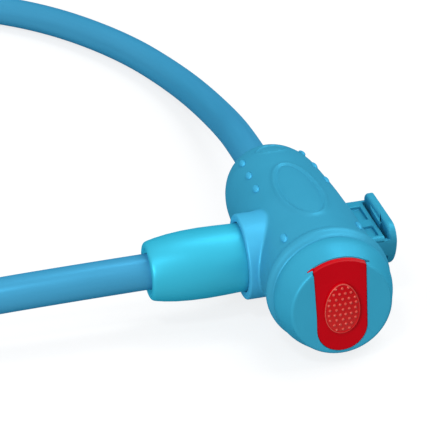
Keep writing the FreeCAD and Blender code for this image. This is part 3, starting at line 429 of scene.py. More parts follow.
# The cable lies on the floor in one loop, from the head's tail round to the connector.
cableLook = {
    "sleeveRadius": 6.0,
    "strandRadius": 3.6,
    "aroundSteps": 40,
    "strandSteps": 24,
    "alongSteps": 24,  # for each point of the route
    "exit": (0, 58.1, 0),
    "strandEnds": (18, -31),  # the strand runs further into both ends than the sleeve
    "bendFrom": (16, 12, 0),  # where the cable starts to follow the connector, and where it wholly does
    "bendTo": (-25.6, -19.2, 0),
}
cableRoute = (
    (0, 34, 0), (0, 80, 0), (1.5, 126, -8.5), (-3.5, 178, -14.6), (-18.7, 222, -14.85),
    (-45.7, 263.7, -14.85), (-81, 291.5, -14.85), (-127, 300, -14.85), (-171, 285, -14.85),
    (-205, 252, -14.85), (-225, 207, -14.85), (-230, 158, -14.85), (-224, 110, -14.85), (-207, 66, -14),
    (-177, 28, -10), (-134, 5, -4), (-88, 0, 0), (-40, 0, 0),
)


def followRoute(route, steps):
    curve = bpy.data.curves.new("route", "CURVE")
    curve.dimensions = "3D"
    curve.resolution_u = steps
    line = curve.splines.new("NURBS")
    line.points.add(len(route) - 1)
    for point, corner in zip(line.points, route):
        point.co = (*place(*corner), 1)
    line.order_u = 3
    line.use_endpoint_u = True
    guide = bpy.data.objects.new("route", curve)
    mesh = bpy.data.meshes.new_from_object(guide)
    path = [v.co.copy() for v in mesh.vertices]
    bpy.data.meshes.remove(mesh)
    bpy.data.objects.remove(guide)
    return path


def tubeAlong(name, path, radius, steps):
    # rings square to the path, carried along it without twist, and closed at both ends
    points, faces, reach = [], [], []
    ahead = (path[1] - path[0]).normalized()
    side = ahead.cross(Vector((0, 0, 1))).normalized()
    gone = 0.0
    for i, here in enumerate(path):
        before, after = path[max(i - 1, 0)], path[min(i + 1, len(path) - 1)]
        turned = (after - before).normalized()
        side = (ahead.rotation_difference(turned) @ side).normalized()
        ahead = turned
        over = side.cross(ahead)
        gone += (here - before).length
        for k in range(steps):
            angle = 2 * math.pi * k / steps
            points.append(here + (side * math.cos(angle) + over * math.sin(angle)) * radius)
            reach.append(gone)
    count = len(path)
    for i in range(count - 1):
        for k in range(steps):
            after = (k + 1) % steps
            faces.append((i * steps + k, (i + 1) * steps + k, (i + 1) * steps + after, i * steps + after))
    faces.append(tuple(range(steps)))
    faces.append(tuple(reversed(range((count - 1) * steps, count * steps))))
    mesh = bpy.data.meshes.new(name)
    mesh.from_pydata(points, [], faces)
    layer = mesh.uv_layers.new(name="sleeve")
    for polygon in mesh.polygons:
        for corner, loop in enumerate(polygon.loop_indices):
            vertex = mesh.loops[loop].vertex_index
            turn = (vertex % steps) / steps
            if polygon.index < len(faces) - 2 and corner >= 2 and turn == 0:
                turn = 1.0  # the seam's far side
            layer.data[loop].uv = (turn, reach[vertex] * 10)
    edit(mesh, faceOutwards)
    return shade(link(name, mesh), 60)


cablePath = followRoute(cableRoute, cableLook["alongSteps"])
strandFrom, strandTo = cableLook["strandEnds"]
strandPath = [place(0, strandFrom, 0)] + cablePath + [place(strandTo, 0, 0)]
sleeve = tubeAlong("cable_tube", cablePath, cableLook["sleeveRadius"] * mm, cableLook["aroundSteps"])
strand = tubeAlong("cable_strand", strandPath, cableLook["strandRadius"] * mm, cableLook["strandSteps"])
for piece, material, slot, node in ((sleeve, sleeveVinyl, "sleeve_plastic", "cable_sleeve"),
                                    (strand, strandSteel, "strand_steel", "cable_core")):
    piece.data.materials.append(material)
    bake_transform(piece)
    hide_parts(node)

# Rubber skin of the head.
skinLook = {
    # the oval's line is a low bank: soft outside, steep inside with a small ditch along its foot
    "ovals": (
        {"middle": 6.2, "halfLength": 20.2, "halfWidth": 7.15, "height": 0.6, "outside": 1.15, "inside": 0.6,
         "ditch": 0.18},
        # a faint small one beside the cable
        {"middle": 42.2, "halfLength": 3.6, "halfWidth": 6.0, "height": 0.4, "outside": 0.6, "inside": 0.5,
         "ditch": 0.2},
    ),
    "ditchAt": 1.9,  # widths of the inner bank from the line
    "arcRadius": 19.3,
    "socketHole": 12.2, "holeEnds": (-26, -9), "holeSteps": 96,
    "fineAngle": 0.8,  # degrees between the rows of points on top, where the raised lines are
    "coarseAngle": 3.0,
    "fineSpan": 26,
    "fineStep": 0.3,
    "fineLength": (-22, 30),
}
# along the head and radius
skinProfile = (
    (-31, 18.6), (-30.9, 18.9), (-30.7, 19.25), (-30.4, 19.5), (-30, 19.64), (-29.4, 19.95), (-28.8, 20.4),
    (-28.1, 20.75), (-27.3, 20.85), (-26.5, 20.75), (-25.8, 20.42), (-25.1, 19.95), (-24.4, 19.62),
    (-23.5, 19.48), (-22, 19.48), (-10, 19.47), (0, 19.45), (10, 19.15), (20, 18.8), (30, 18.15), (40, 17.4),
    (45, 16.5), (48, 15.65), (50, 14.9), (52, 13.9), (54, 12.6), (55.5, 11.35), (56.5, 10.15), (57.2, 8.6),
    (57.25, 8.0),
)
skinInside = (
    (55.4, 8.0), (54.4, 9.6), (53, 11.0), (51, 12.5), (48, 13.9), (45, 14.7), (40, 15.6), (30, 16.3),
    (20, 17.0), (10, 17.35), (0, 17.65), (-15, 17.7), (-31, 17.8),
)


def radiusAt(profile, along):
    # smooth curve through the profile's points
    last = len(profile) - 1
    i = max(k for k in range(last) if profile[k][0] <= along or k == 0)
    (y0, r0), (y1, r1) = profile[i], profile[i + 1]

    def slope(k):
        k = min(max(k, 1), last - 1)
        return (profile[k + 1][1] - profile[k - 1][1]) / (profile[k + 1][0] - profile[k - 1][0])

    span = y1 - y0
    t = (along - y0) / span
    return ((2 * t ** 3 - 3 * t ** 2 + 1) * r0 + (t ** 3 - 2 * t ** 2 + t) * span * slope(i)
            + (3 * t ** 2 - 2 * t ** 3) * r1 + (t ** 3 - t ** 2) * span * slope(i + 1))


def raisedLines(look, arc, along):
    # height of the ovals on top, arc is measured round the head
    height = 0
    for oval in look["ovals"]:
        a, b = arc / oval["halfWidth"], (along - oval["middle"]) / oval["halfLength"]
        q = math.hypot(a, b)
        steep = math.hypot(a / oval["halfWidth"], b / oval["halfLength"]) / max(q, 1e-6)
        off = (q - 1) / max(steep, 1e-6)
        width = oval["outside"] if off > 0 else oval["inside"]
        height += oval["height"] * math.exp(-(off / width) ** 2)
        height -= oval["ditch"] * math.exp(-((off + oval["inside"] * look["ditchAt"]) / oval["inside"]) ** 2)
    return height


def makeSkin(look):
    fine, span = look["fineAngle"], look["fineSpan"]
    angles = [-span + fine * i for i in range(int(2 * span / fine) + 1)]
    left = 360 - (angles[-1] - angles[0])
    more = int(left / look["coarseAngle"])
    angles += [angles[-1] + left * i / more for i in range(1, more)]
    outer = []
    first, last = look["fineLength"]
    for (y0, _), (y1, _) in zip(skinProfile, skinProfile[1:]):
        step = look["fineStep"] if first <= y0 < last else look["fineStep"] * 2
        parts = max(1, round((y1 - y0) / step)) if y0 >= first else 2
        outer += [y0 + (y1 - y0) * k / parts for k in range(parts)]
    outer.append(skinProfile[-1][0])
    points = []
    for degrees in angles:
        turn = math.radians(degrees)
        ring = []
        for along in outer:
            radius = radiusAt(skinProfile, along)
            if abs(degrees) <= span:
                radius += raisedLines(look, turn * look["arcRadius"], along)
            ring.append((radius, along))
        ring += [(radius, along) for along, radius in skinInside]
        points += [(radius * math.sin(turn), along, radius * math.cos(turn)) for radius, along in ring]
    return addMesh("head_skin", points, ringFaces(len(angles), len(outer) + len(skinInside)))


# Mounting foot: the skin has a hole for it, and its pieces follow below.
footLook = {
    "root": 8, "hole": 24,  # the foot starts inside the head, and the skin's hole ends outside it
    "base": 23.9, "plate": 25.1, "outer": 28.0,  # the base's side, then the plate's two faces
    "rear": 16.3, "front": -12.8, "low": -9.5, "top": 6.0, "plateTop": 9.0,
    "rearRound": 3.0, "frontRound": 5.2, "lowRound": 4.0, "topRound": 1.5,
    "slant": ((-12.8, 3.5), (-2.0, -9.5), 16.3),  # ends and radius of the slanting lower front
    "slantSteps": 12, "arcSteps": 8,
    "slot": (-10.8, 14.2), "slotInto": 0.3,  # the slot also takes that much of the plate's rounded edge
    # seen from above: the notch between plate and sprung tongue, the tongue, and its thick lower part
    "notch": ((25.9, -0.9), (24.9, -5.4), (24.9, -3.456)), "notchLow": 7.3,
    "tongue": ((25.9, -0.9), (24.1, -5.5), (24.4, 5.0), (25.1, 8.6), (25.7, 8.6), (26.2, 0.0)),
    "tongueBase": ((25.6, -4.6), (24.13, -5.38), (24.42, 5.0), (25.12, 8.55), (25.6, 8.55)),
    "tongueTop": 7.8, "tongueEdge": 0.2,
    "wallTop": 4.8, "pocketFloor": 4.9, "pockets": ((1.5, 11.2), (-10.6, -3.5)), "pocketSides": (17.5, 22.2),
    "plateEdges": (1.2, 0.45), "baseEdge": 0.4, "baseEdgeFrom": 18.4,
    # the head's inside, along and radius, which cuts the foot's root
    "headInside": ((-32, 0), (-31, 17.8), (0, 17.65), (20, 17.0), (33, 16.2), (33, 0)), "headSteps": 96,
}


def footOutline(look, top, rearRound, frontRound):
    (y0, z0), (y1, z1), radius = look["slant"]
    first, last = Vector((y0, z0)), Vector((y1, z1))
    chord = last - first
    inward = Vector((-chord.y, chord.x)).normalized()
    centre = (first + last) / 2 + inward * math.sqrt(radius ** 2 - (chord.length / 2) ** 2)
    start, end = [math.atan2(p.y - centre.y, p.x - centre.x) % (2 * math.pi) for p in (first, last)]
    steps = look["slantSteps"]
    slant = [(centre.x + radius * math.cos(start + (end - start) * k / steps),
              centre.y + radius * math.sin(start + (end - start) * k / steps)) for k in range(steps + 1)]
    return roundCorners([
        (look["rear"], look["low"], look["lowRound"]), (look["rear"], top, rearRound),
        (look["front"], top, frontRound)] + slant, look["arcSteps"])


look = skinLook
skin = makeSkin(look)
combine(skin, rod("hole", look["socketHole"], look["holeEnds"], "x", look["holeSteps"]))
look = footLook
footShape = footOutline(look, look["top"], look["topRound"], look["topRound"])
combine(skin, extrude("footHole", footShape, "x", look["root"], look["hole"]))
settle(shade(skin, 50), softRubber, "lock_body", "skin_soft", "soft_cover")
print("skin of the head:", len(skin.data.polygons), "faces")

# Collar round the socket; its foot spreads on to the head.
collarLook = {
    "radius": 14.4, "bore": 11.67, "mouth": -22.7, "mouthRound": 0.7, "foot": 1.0,
    "root": -10.5, "rootInset": 1, "sunk": (0.6, 0.1),  # how far the foot's edge goes in, and back
    "steps": 160, "rimSteps": 4, "footSteps": 6,
    # the collar's painted highlight fades out within this distance beyond its side
    "highlightEnds": 0.45,  # beyond its side
}


def makeCollar(look):
    reach, bore, mouth, soft = look["radius"], look["bore"], look["mouth"], look["mouthRound"]
    turns = [math.pi / 2 * k / look["rimSteps"] for k in range(look["rimSteps"] + 1)]
    rim = [(mouth + soft * (1 - math.sin(t)), bore + soft * (1 - math.cos(t))) for t in turns]
    rim += [(mouth + soft * (1 - math.cos(t)), reach - soft * (1 - math.sin(t))) for t in turns]
    inwards, back = look["sunk"]
    points = []
    for i in range(look["steps"]):
        angle = 2 * math.pi * i / look["steps"]
        side, top = math.sin(angle), math.cos(angle)

        def onHead(radius):
            head = radiusAt(skinProfile, radius * side)
            return -math.sqrt(max(head ** 2 - (radius * top) ** 2, 0.01))

        meet = onHead(reach)
        steep = (onHead(reach + 0.1) - meet) / 0.1
        spread = look["foot"] / math.hypot(1, steep)
        first, bend = (meet - look["foot"], reach), (meet, reach)
        last = (onHead(reach + spread), reach + spread)
        ring = list(rim)
        for k in range(look["footSteps"] + 1):
            t = k / look["footSteps"]
            ring.append(tuple((1 - t) ** 2 * first[n] + 2 * t * (1 - t) * bend[n] + t * t * last[n]
                              for n in range(2)))
        ring += [(last[0] + inwards, reach + spread - back),
                 (look["root"], reach - look["rootInset"]), (look["root"], bore)]
        points += [(along, radius * side, radius * top) for along, radius in ring]
    return addMesh("socket_collar", points, ringFaces(look["steps"], len(ring)))


def paintLight(piece, share):
    # how much painted light each point gets, from its place in mm
    paintedLight = piece.data.attributes.new("paintedLight", "FLOAT", "POINT")
    for vertex in piece.data.vertices:
        paintedLight.data[vertex.index].value = share(vertex.co / mm - crossing)
    return piece


def collarPaintedLight(at):
    # painted highlight on the collar's face, fading out over its foot
    out = math.hypot(at.y, at.z) - collarLook["radius"]
    return min(max(1 - out / collarLook["highlightEnds"], 0), 1)


collar = paintLight(shade(makeCollar(collarLook), 60), collarPaintedLight)
settle(collar, softRubber, "lock_body", "skin_soft")
print("collar made")

# Front cap with the slide's channel.
capLook = {
    "steps": 160,
    "channelHalf": 8.45, "channelLow": -7.2, "floor": -41.0,
    "keyhole": 7.7, "keyholeEnds": (-41.5, -38.3), "keyholeSteps": 64,
    "outside": -45, "top": 25, "flangesTop": 25.2,  # where the cutters end, well outside
    "gap": 0.15,  # below the slide's flanges
    "leafPocket": ((-2.55, 2.55), (-41.2, -39.95), (9.15, 14.45)),
    # room for the slide's side flanges, seen from above, thinning out towards both ends
    "flanges": ((-10.75, -40.997), (-10.5, -41.45), (-8.4, -42.1), (8.4, -42.1), (9.7, -41.55),
                (9.9, -40.997)),
    # the channel's upper left corner opens out in a small curve
    "flare": ((-8.95, 12.4), (-9.1, 13.0), (-9.3, 13.4), (-9.5, 13.9), (-9.6, 14.6), (-9.6, 16.0),
              (-8.0, 16.0), (-8.0, 12.4)),
    "flareFloor": -42.5,
    "edge": 0.16,
    "lean": 0.039,  # of the channel's left side, for each mm above -2
}
# along the head and radius
capProfile = [
    (-31.12, 15.6), (-31.12, 18.6), (-31.22, 18.95), (-31.45, 19.35), (-31.85, 19.62), (-33.5, 19.65),
    (-34.7, 19.45), (-35.8, 19.17), (-37, 18.78), (-38.2, 18.33), (-39.4, 17.9), (-40.5, 17.5), (-41.4, 17.2),
    (-42.1, 16.97), (-42.4, 16.86), (-42.75, 16.68), (-43.02, 16.42), (-43.16, 16.12), (-43.2, 15.8),
    (-43.2, 15.4), (-43.2, 0), (-38.8, 0), (-38.8, 15.6),
]
capSide = capProfile[5:14]  # from its widest place to the front edge


def slotOutline(half, low, high, steps=40):
    # round lower end and straight sides, seen from the front; the left side leans out a little above
    curved = [(-half * math.cos(math.pi * k / steps), low - half * math.sin(math.pi * k / steps))
              for k in range(steps + 1)]
    return curved + [(half, high), (-half - capLook["lean"] * (high + 2), high), (-half, -2)]


look = capLook
cap = lathe("front_cap_shell", capProfile, "y", look["steps"])
channel = slotOutline(look["channelHalf"], look["channelLow"], look["top"])
combine(cap, extrude("channel", channel, "y", look["outside"], look["floor"]))
combine(cap, extrude("flanges", look["flanges"], "z", look["channelLow"] - look["gap"], look["flangesTop"]))
combine(cap, extrude("flare", look["flare"], "y", look["outside"], look["flareFloor"]))
combine(cap, rod("keyhole", look["keyhole"], look["keyholeEnds"], "y", look["keyholeSteps"]))
combine(cap, slab("leafPocket", *look["leafPocket"]))
soften(cap, look["edge"])
settle(shade(cap, 35, flatFaces=True), capPlastic, "lock_body", "cap_plastic", "front_cap")
print("front cap:", len(cap.data.polygons), "faces")

# Red sliding cover with its thumb pad.
slideLook = {
    "half": 8.3, "low": -7.2, "front": -42.9, "back": -41.1, "edge": 0.36, "top": 25, "flangesTop": 24.9,
    "sunk": 0.35, "flangesSunk": 0.02,  # the tops stay that much under the cap's side
    "flanges": ((-10.6, -41.102), (-10.35, -41.45), (-8.25, -41.95), (8.25, -41.95), (9.55, -41.5),
                (9.7, -41.102)),
    "flangeGap": ((-8.6, 8.4), (-45, -40), (12.5, 25)),  # between the two flanges, at the top
    "rightFlangeTop": 12.0,  # on the right the flange ends under the cap's side and leaves a dark line
    "rightCut": (-42.3, -40.9),
    "padHalf": 6.0, "padTall": 9.3, "padNarrow": 0.12, "padFoot": -0.25, "padWall": 0.035, "padSteps": 96,
    "padBase": 0.62, "padCrown": 0.58, "crownReach": 0.95, "padRim": 0.24, "rimAt": 0.945, "rimWide": 0.028,
    # rings of points from the pad's middle, as shares of its size
    "padShares": (0.0, 0.15, 0.3, 0.45, 0.6, 0.7, 0.78, 0.84, 0.87, 0.89, 0.905, 0.92, 0.932, 0.945, 0.957,
                  0.967, 0.975, 0.983, 0.991, 0.998, 1.0),
    # painted light: highlight on the upper edge and the rim, its change from corner to corner, reflection on
    # the crown
    "highlightEdge": 0.6, "highlightRim": 0.42, "highlightLean": 0.28, "reflectionCrown": 0.05, "highlightSharp": 1.6,
    "highlightAbove": 8, "highlightBand": (0.02, 0.34), "reflectionInside": 0.9, "diagonal": 1.4,
    # bumps in each row from the bottom, and their pitch for rows of 3 to 6
    "bumpRows": (3, 4, 5, 6, 5, 6, 5, 4, 3), "bumpPitch": {3: 2.1, 4: 1.89, 5: 2.1, 6: 1.8}, "rowPitch": 1.84,
    "bumpRadius": 0.5, "bumpHeight": 0.38, "bumpSteps": 14,
    "bumpLimit": 0.86, "leanRun": 5,  # the bumps stay on the crown and lean with it
}
look = slideLook
plateShape = slotOutline(look["half"], look["low"], look["top"])
slide = extrude("slide_plate", plateShape, "y", look["front"], look["back"])
flanges = extrude("flanges", look["flanges"], "z", look["low"], look["flangesTop"])
for part, sunk in ((slide, look["sunk"]), (flanges, look["flangesSunk"])):
    # nothing stands out of the cap's side
    limit = [(-30, 0), (-30, 19.2)] + [(along, radius - sunk) for along, radius in capSide]
    limit += [(-43.6, limit[-1][1]), (-43.6, 0)]
    combine(part, lathe("capSide", limit, "y", capLook["steps"]), "INTERSECT")
combine(flanges, slab("flangeMiddle", *look["flangeGap"]))
combine(slide, flanges, "UNION")
combine(slide, slab("flangeEnd", (look["half"] + 0.02, 12), look["rightCut"],
                    (look["rightFlangeTop"], look["top"])))
soften(slide, look["edge"], segments=3)
shade(slide, flatFaces=True)


def slidePaintedLight(at):
    # painted highlight on the middle of the rounded upper front edge only
    look = slideLook
    low, high = look["highlightBand"]
    highlit = at.z > look["highlightAbove"] and low < at.y - look["front"] < high
    return look["highlightEdge"] if highlit else 0


settle(paintLight(slide, slidePaintedLight), coverPlastic, "dust_cover", "cover_plastic", "dust_cover")
print("red cover:", len(slide.data.polygons), "faces")


def eggPoint(look, share, angle):
    side = look["padHalf"] * math.sin(angle) * (1 - look["padNarrow"] * math.cos(angle))
    return side * share, look["padTall"] * math.cos(angle) * share


def padHeight(look, share):
    # low crown inside a thin raised rim, with a steep wall round it
    if share > 0.999:
        return look["padFoot"]
    wall = min((1 - share) / look["padWall"], 1.0)
    crown = look["padCrown"] * (1 - (share / look["crownReach"]) ** 2)
    rim = look["padRim"] * math.exp(-((share - look["rimAt"]) / look["rimWide"]) ** 2)
    return (look["padBase"] + rim) * (1 - (1 - wall) ** 2) + max(crown, 0)


def makePad(look):
    shares, steps = look["padShares"], look["padSteps"]
    points, faces = [], []
    for share in shares:
        for i in range(steps):
            x, z = eggPoint(look, share, 2 * math.pi * i / steps)
            points.append((x, look["front"] - padHeight(look, share), z))
    for j in range(len(shares) - 1):
        for i in range(steps):
            a, b = j * steps + i, j * steps + (i + 1) % steps
            if j == 0:
                faces.append((a, b + steps, a + steps))
            else:
                faces.append((a, b, b + steps, a + steps))
    start = (len(shares) - 1) * steps
    faces.append(tuple(range(start, start + steps)))
    return addMesh("thumb_pad", points, faces)


def padPaintedLight(at):
    # painted highlight on the rim, strongest at the upper left, and a little painted reflection on the
    # crown's lower part
    look = slideLook
    across, up = at.x / look["padHalf"], at.z / look["padTall"]
    share = math.hypot(across / (1 - look["padNarrow"] * up), up)
    rim = math.exp(-((share - look["rimAt"]) / look["rimWide"] * look["highlightSharp"]) ** 2)
    rim *= look["highlightRim"] + look["highlightLean"] * (up - across) / look["diagonal"]
    return rim + (look["reflectionCrown"] * (1 - up) if share < look["reflectionInside"] else 0)


pad = paintLight(shade(makePad(slideLook), 50), padPaintedLight)
settle(pad, coverPlastic, "dust_cover", "cover_plastic")


def domeTree():
    # a dome on each point, for the raised dots and the thumb bumps
    tree = bpy.data.node_groups.new("domesOnPoints", "GeometryNodeTree")
    sockets = {}
    tree.interface.new_socket("Points", in_out="INPUT", socket_type="NodeSocketGeometry")
    for name, kind in (("Dome Radius", "Float"), ("Dome Reach", "Float"), ("Dome Height", "Float"),
                       ("Segments", "Int"), ("Material", "Material")):
        socket = tree.interface.new_socket(name, in_out="INPUT", socket_type="NodeSocket" + kind)
        sockets[name] = socket.identifier
    tree.interface.new_socket("Domes", in_out="OUTPUT", socket_type="NodeSocketGeometry")
    given = addNode(tree, "NodeGroupInput").outputs
    rings = addNode(tree, "ShaderNodeMath", {0: given["Segments"], 1: 2.0}, operation="DIVIDE")
    ball = addNode(tree, "GeometryNodeMeshUVSphere", {"Segments": given["Segments"],
                                                      "Rings": rings.outputs[0], "Radius": 1.0})
    shape = addNode(tree, "ShaderNodeCombineXYZ", {"X": given["Dome Radius"],
                                                   "Y": given["Dome Reach"],
                                                   "Z": given["Dome Height"]})
    dome = addNode(tree, "GeometryNodeTransform", {"Geometry": ball.outputs["Mesh"],
                                                   "Scale": shape.outputs[0]})
    outward = addNode(tree, "GeometryNodeInputNamedAttribute", {"Name": "outward"},
                      data_type="FLOAT_VECTOR")
    aim = addNode(tree, "FunctionNodeAlignRotationToVector", {"Vector": outward.outputs["Attribute"]},
                  axis="Z")
    spread = addNode(tree, "GeometryNodeInstanceOnPoints", {"Points": given["Points"],
                                                            "Instance": dome.outputs[0],
                                                            "Rotation": aim.outputs[0]})
    real = addNode(tree, "GeometryNodeRealizeInstances", {"Geometry": spread.outputs[0]})
    smooth = addNode(tree, "GeometryNodeSetShadeSmooth", {0: real.outputs[0]})
    finished = addNode(tree, "GeometryNodeSetMaterial", {"Geometry": smooth.outputs[0],
                                                         "Material": given["Material"]})
    addNode(tree, "NodeGroupOutput", {0: finished.outputs[0]})
    return tree, sockets


domes, domeSockets = domeTree()


def addDomes(name, spots, values, body, slot):
    # spots are (point, outward direction)
    mesh = bpy.data.meshes.new(name)
    mesh.from_pydata([place(*point) for point, _ in spots], [], [])
    outward = mesh.attributes.new("outward", "FLOAT_VECTOR", "POINT")
    for i, (_, direction) in enumerate(spots):
        outward.data[i].vector = Vector(direction).normalized()
    piece = link(name, mesh)
    grow = piece.modifiers.new("domes", "NODES")
    grow.node_group = domes
    for key, value in values.items():
        grow[domeSockets[key]] = value
    settle(bake(piece), values["Material"], body, slot)


# Raised dots of the skin, as degrees from the top and mm along the head.
dotLook = {
    "spots": ((-38.7, 18.3), (-38.7, 29.7), (-38.7, 40.9), (42.0, 18.4), (42.0, 31.3), (42.0, 43.9),
              (-39.0, -19.4), (44.0, -17.1)),
    "radius": 1.15, "reach": 2.5, "height": 0.95,  # mm round the head, along it and over it
    "steps": 28,
}
look = dotLook
dotPlaces = []
for degrees, along in look["spots"]:
    turn, radius = math.radians(degrees), radiusAt(skinProfile, along)
    lean = radiusAt(skinProfile, along + 0.5) - radiusAt(skinProfile, along - 0.5)
    dotPlaces.append(((radius * math.sin(turn), along, radius * math.cos(turn)),
                      (math.sin(turn), -lean, math.cos(turn))))
addDomes("head_dots", dotPlaces, {
    "Dome Radius": look["radius"] * mm, "Dome Reach": look["reach"] * mm, "Dome Height": look["height"] * mm,
    "Segments": look["steps"], "Material": dotRubberHighlit}, "lock_body", "skin_soft")

look = slideLook
bumpPlaces = []
rows = look["bumpRows"]
for i, count in enumerate(rows):
    z = (i - (len(rows) - 1) / 2) * look["rowPitch"]
    for k in range(count):
        x = (k - (count - 1) / 2) * look["bumpPitch"][count]
        share = math.hypot(x / look["padHalf"], z / look["padTall"])
        lean = 2 * look["padCrown"] * share / look["leanRun"]
        bumpPlaces.append(((x, look["front"] - padHeight(look, min(share, look["bumpLimit"])), z),
                           (lean * x / look["padHalf"], -1, lean * z / look["padHalf"])))
addDomes("thumb_bumps", bumpPlaces, {
    "Dome Radius": look["bumpRadius"] * mm, "Dome Reach": look["bumpRadius"] * mm,
    "Dome Height": look["bumpHeight"] * mm, "Segments": look["bumpSteps"], "Material": bumpPlasticHighlit},
    "dust_cover", "cover_plastic")
print("dots and bumps:", len(dotPlaces), len(bumpPlaces))

# Connector barrel: along the socket and radius, and for some corners how far they are rounded.
barrelLook = {
    "profile": (
        (-18.2, 6.0), (-18.2, 11.37, 0.5), (-24, 11.45), (-29.5, 11.68), (-35.5, 11.8), (-41, 11.66),
        (-46, 11.25), (-50, 10.65), (-52.4, 10.15), (-54.3, 9.6, 1.5), (-54.3, 8.1, 0.4), (-53.6, 7.0, 0.4),
        (-53.6, 6.15), (-48, 6.15), (-48, 7.6), (-20.2, 7.6), (-20.2, 6.0)),
    "arcSteps": 5,
    "steps": 128,
}
look = barrelLook
boot = lathe("connector_barrel", roundCorners(look["profile"], look["arcSteps"]), "x", look["steps"])
settle(shade(boot, 35), bootPlastic, "connector", "boot_plastic", "connector_boot")
print("connector barrel:", len(boot.data.polygons), "faces")

# The foot's base with slot and pockets, then its plate with the tongue.
look = footLook
below, above = look["low"] - overrun, look["top"] + overrun
plateShape = footOutline(look, look["plateTop"], look["rearRound"], look["frontRound"])
foot = extrude("foot_body", footShape, "x", look["root"], look["plate"] + look["plateEdges"][0])
combine(foot, slab("slot", (look["base"], look["plate"] + look["slotInto"]), look["slot"], (below, above)))
combine(foot, slab("wallTop", (look["base"], look["plate"] + 3),
                   (look["front"] - overrun, look["slot"][0] + 0.01), (look["wallTop"], above)))
for ends in look["pockets"]:
    combine(foot, slab("pocket", look["pocketSides"], ends, (look["pocketFloor"], above)))
combine(foot, lathe("head", look["headInside"], "y", look["headSteps"]))
soften(foot, look["baseEdge"], segments=3,
       where=lambda middle: footLook["baseEdgeFrom"] < middle.x < footLook["plate"] + 0.2)
combine(foot, roundedPlate("plate", plateShape, look["plate"], look["outer"], look["plateEdges"]), "UNION")
combine(foot, extrude("notch", look["notch"], "z", look["notchLow"], look["plateTop"] + overrun))
tongue = extrude("tongue", look["tongue"], "z", look["notchLow"] - 0.5, look["tongueTop"])
combine(tongue, extrude("tongueBase", look["tongueBase"], "z", below, look["notchLow"]), "UNION")
combine(tongue, extrude("tongueEnd", plateShape, "x", look["base"] - overrun, look["outer"]), "INTERSECT")
combine(foot, soften(tongue, look["tongueEdge"]), "UNION")
settle(shade(foot, 35, flatFaces=True), capPlastic, "lock_body", "cap_plastic", "mounting_foot")
print("foot:", len(foot.data.polygons), "faces")

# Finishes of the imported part's own pieces.
finishes = (
    (softRubber, "soft_cover", "rear_gland"),
    (capPlastic, "front_cap", "mounting_foot"),
    (coverPlastic, "dust_cover"),
    (bootPlastic, "connector_boot"),
    (sleeveVinyl, "cable_sleeve"),
    (strandSteel, "cable_core"),
    (shellPlastic, "housing"),
    (sealRubber, "mouth_seal", "cap_seal"),
    (lockBrass, "key_plug", "wafers"),
    (zincCasting, "lock_barrel", "plug_cam", "latch_guide"),
    (springSteel, "wafer_springs", "plug_clip", "latch_spring", "cover_spring"),
    (brightSteel, "latch_bolt", "socket_liner", "connector_pin", "connector_ferrule", "body_ferrule",
     "ferrule_pin"),
    (screwSteel, "barrel_screws", "foot_screws"),
)
for material, *names in finishes:
    for name in names:
        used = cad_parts[name].data.materials
        used.clear()
        used.append(material)
print("finishes on", sum(len(row) - 1 for row in finishes), "of", len(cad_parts), "nodes")

# Floor, background and soft light.
studio = {
    "floorSize": 6.0, "floorDrop": 0.0004,  # metres, just under the lock
    "floorTone": "#929394", "floorGlow": 0.76, "roomLight": 0.34,
    "aim": (0, 10, 0),  # mm, what every lamp points at
    "key": {"at": (-0.864, -0.696, 0.456), "size": (0.5, 0.5), "power": 7.8},  # metres and watts
    "front": {"at": (-0.33, -0.517, 0.913), "size": (0.14, 0.14), "power": 1.6},
    "right": {"at": (0.66, 0.088, 0.88), "size": (0.8, 0.8), "power": 5.2},
    "top": {"at": (0.21, 0.228, 1.06), "size": (0.3, 0.3), "power": 1.7},
    "fill": {"at": (0.72, -0.84, 0.48), "size": (0.6, 0.6), "power": 1.4},
}


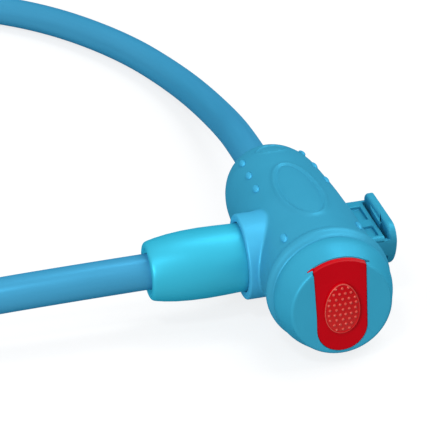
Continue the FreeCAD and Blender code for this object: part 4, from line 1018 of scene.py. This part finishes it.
def raysThatSee(tree):
    # 1 for what the camera sees, also mirrored or through a clear thing, and 0 for lighting
    ray = addNode(tree, "ShaderNodeLightPath").outputs
    seen = addNode(tree, "ShaderNodeMath", {0: ray["Is Camera Ray"], 1: ray["Is Glossy Ray"]},
                   operation="MAXIMUM")
    return addNode(tree, "ShaderNodeMath", {0: seen.outputs[0], 1: ray["Is Transmission Ray"]},
                   operation="MAXIMUM").outputs[0]


def addStage(values):
    mesh = bpy.data.meshes.new("floor")
    half = values["floorSize"] / 2
    corners = [(-half, -half, 0), (half, -half, 0), (half, half, 0), (-half, half, 0)]
    mesh.from_pydata(corners, [], [(0, 1, 2, 3)])
    floor = link("floor", mesh)
    floor.location.z = -values["floorDrop"]
    material, tree = blankMaterial("floor_paper_white")
    strength = addNode(tree, "ShaderNodeMath", {0: raysThatSee(tree), 1: values["floorGlow"]},
                       operation="MULTIPLY")
    glow = addNode(tree, "ShaderNodeEmission", {"Color": linear("#FFFFFF"),
                                                "Strength": strength.outputs[0]})
    paper = addNode(tree, "ShaderNodeBsdfDiffuse", {"Color": linear(values["floorTone"])})
    both = addNode(tree, "ShaderNodeAddShader", {0: glow.outputs[0], 1: paper.outputs[0]})
    addNode(tree, "ShaderNodeOutputMaterial", {"Surface": both.outputs[0]})
    mesh.materials.append(material)

    world = bpy.data.worlds.new("studio")
    scene.world = world
    world.use_nodes = True
    tree = world.node_tree
    tree.nodes.clear()
    strength = addNode(tree, "ShaderNodeMapRange", {"Value": raysThatSee(tree), "To Min": values["roomLight"],
                                                    "To Max": 1.0})
    room = addNode(tree, "ShaderNodeBackground", {"Color": linear("#FFFFFF"),
                                                  "Strength": strength.outputs[0]})
    addNode(tree, "ShaderNodeOutputWorld", {"Surface": room.outputs[0]})


def addLight(name, values, aim):
    light = bpy.data.lights.new(name, "AREA")
    light.shape = "RECTANGLE"
    light.size, light.size_y = values["size"]
    light.energy = values["power"]
    lamp = bpy.data.objects.new(name, light)
    here = Vector(values["at"])
    lamp.location = here
    lamp.rotation_euler = (aim - here).to_track_quat("-Z", "Y").to_euler()
    scene.collection.objects.link(lamp)


addStage(studio)
for name in ("key", "front", "right", "top", "fill"):
    addLight(name, studio[name], place(*studio["aim"]))
scene.view_settings.view_transform = "Standard"
print("studio set")
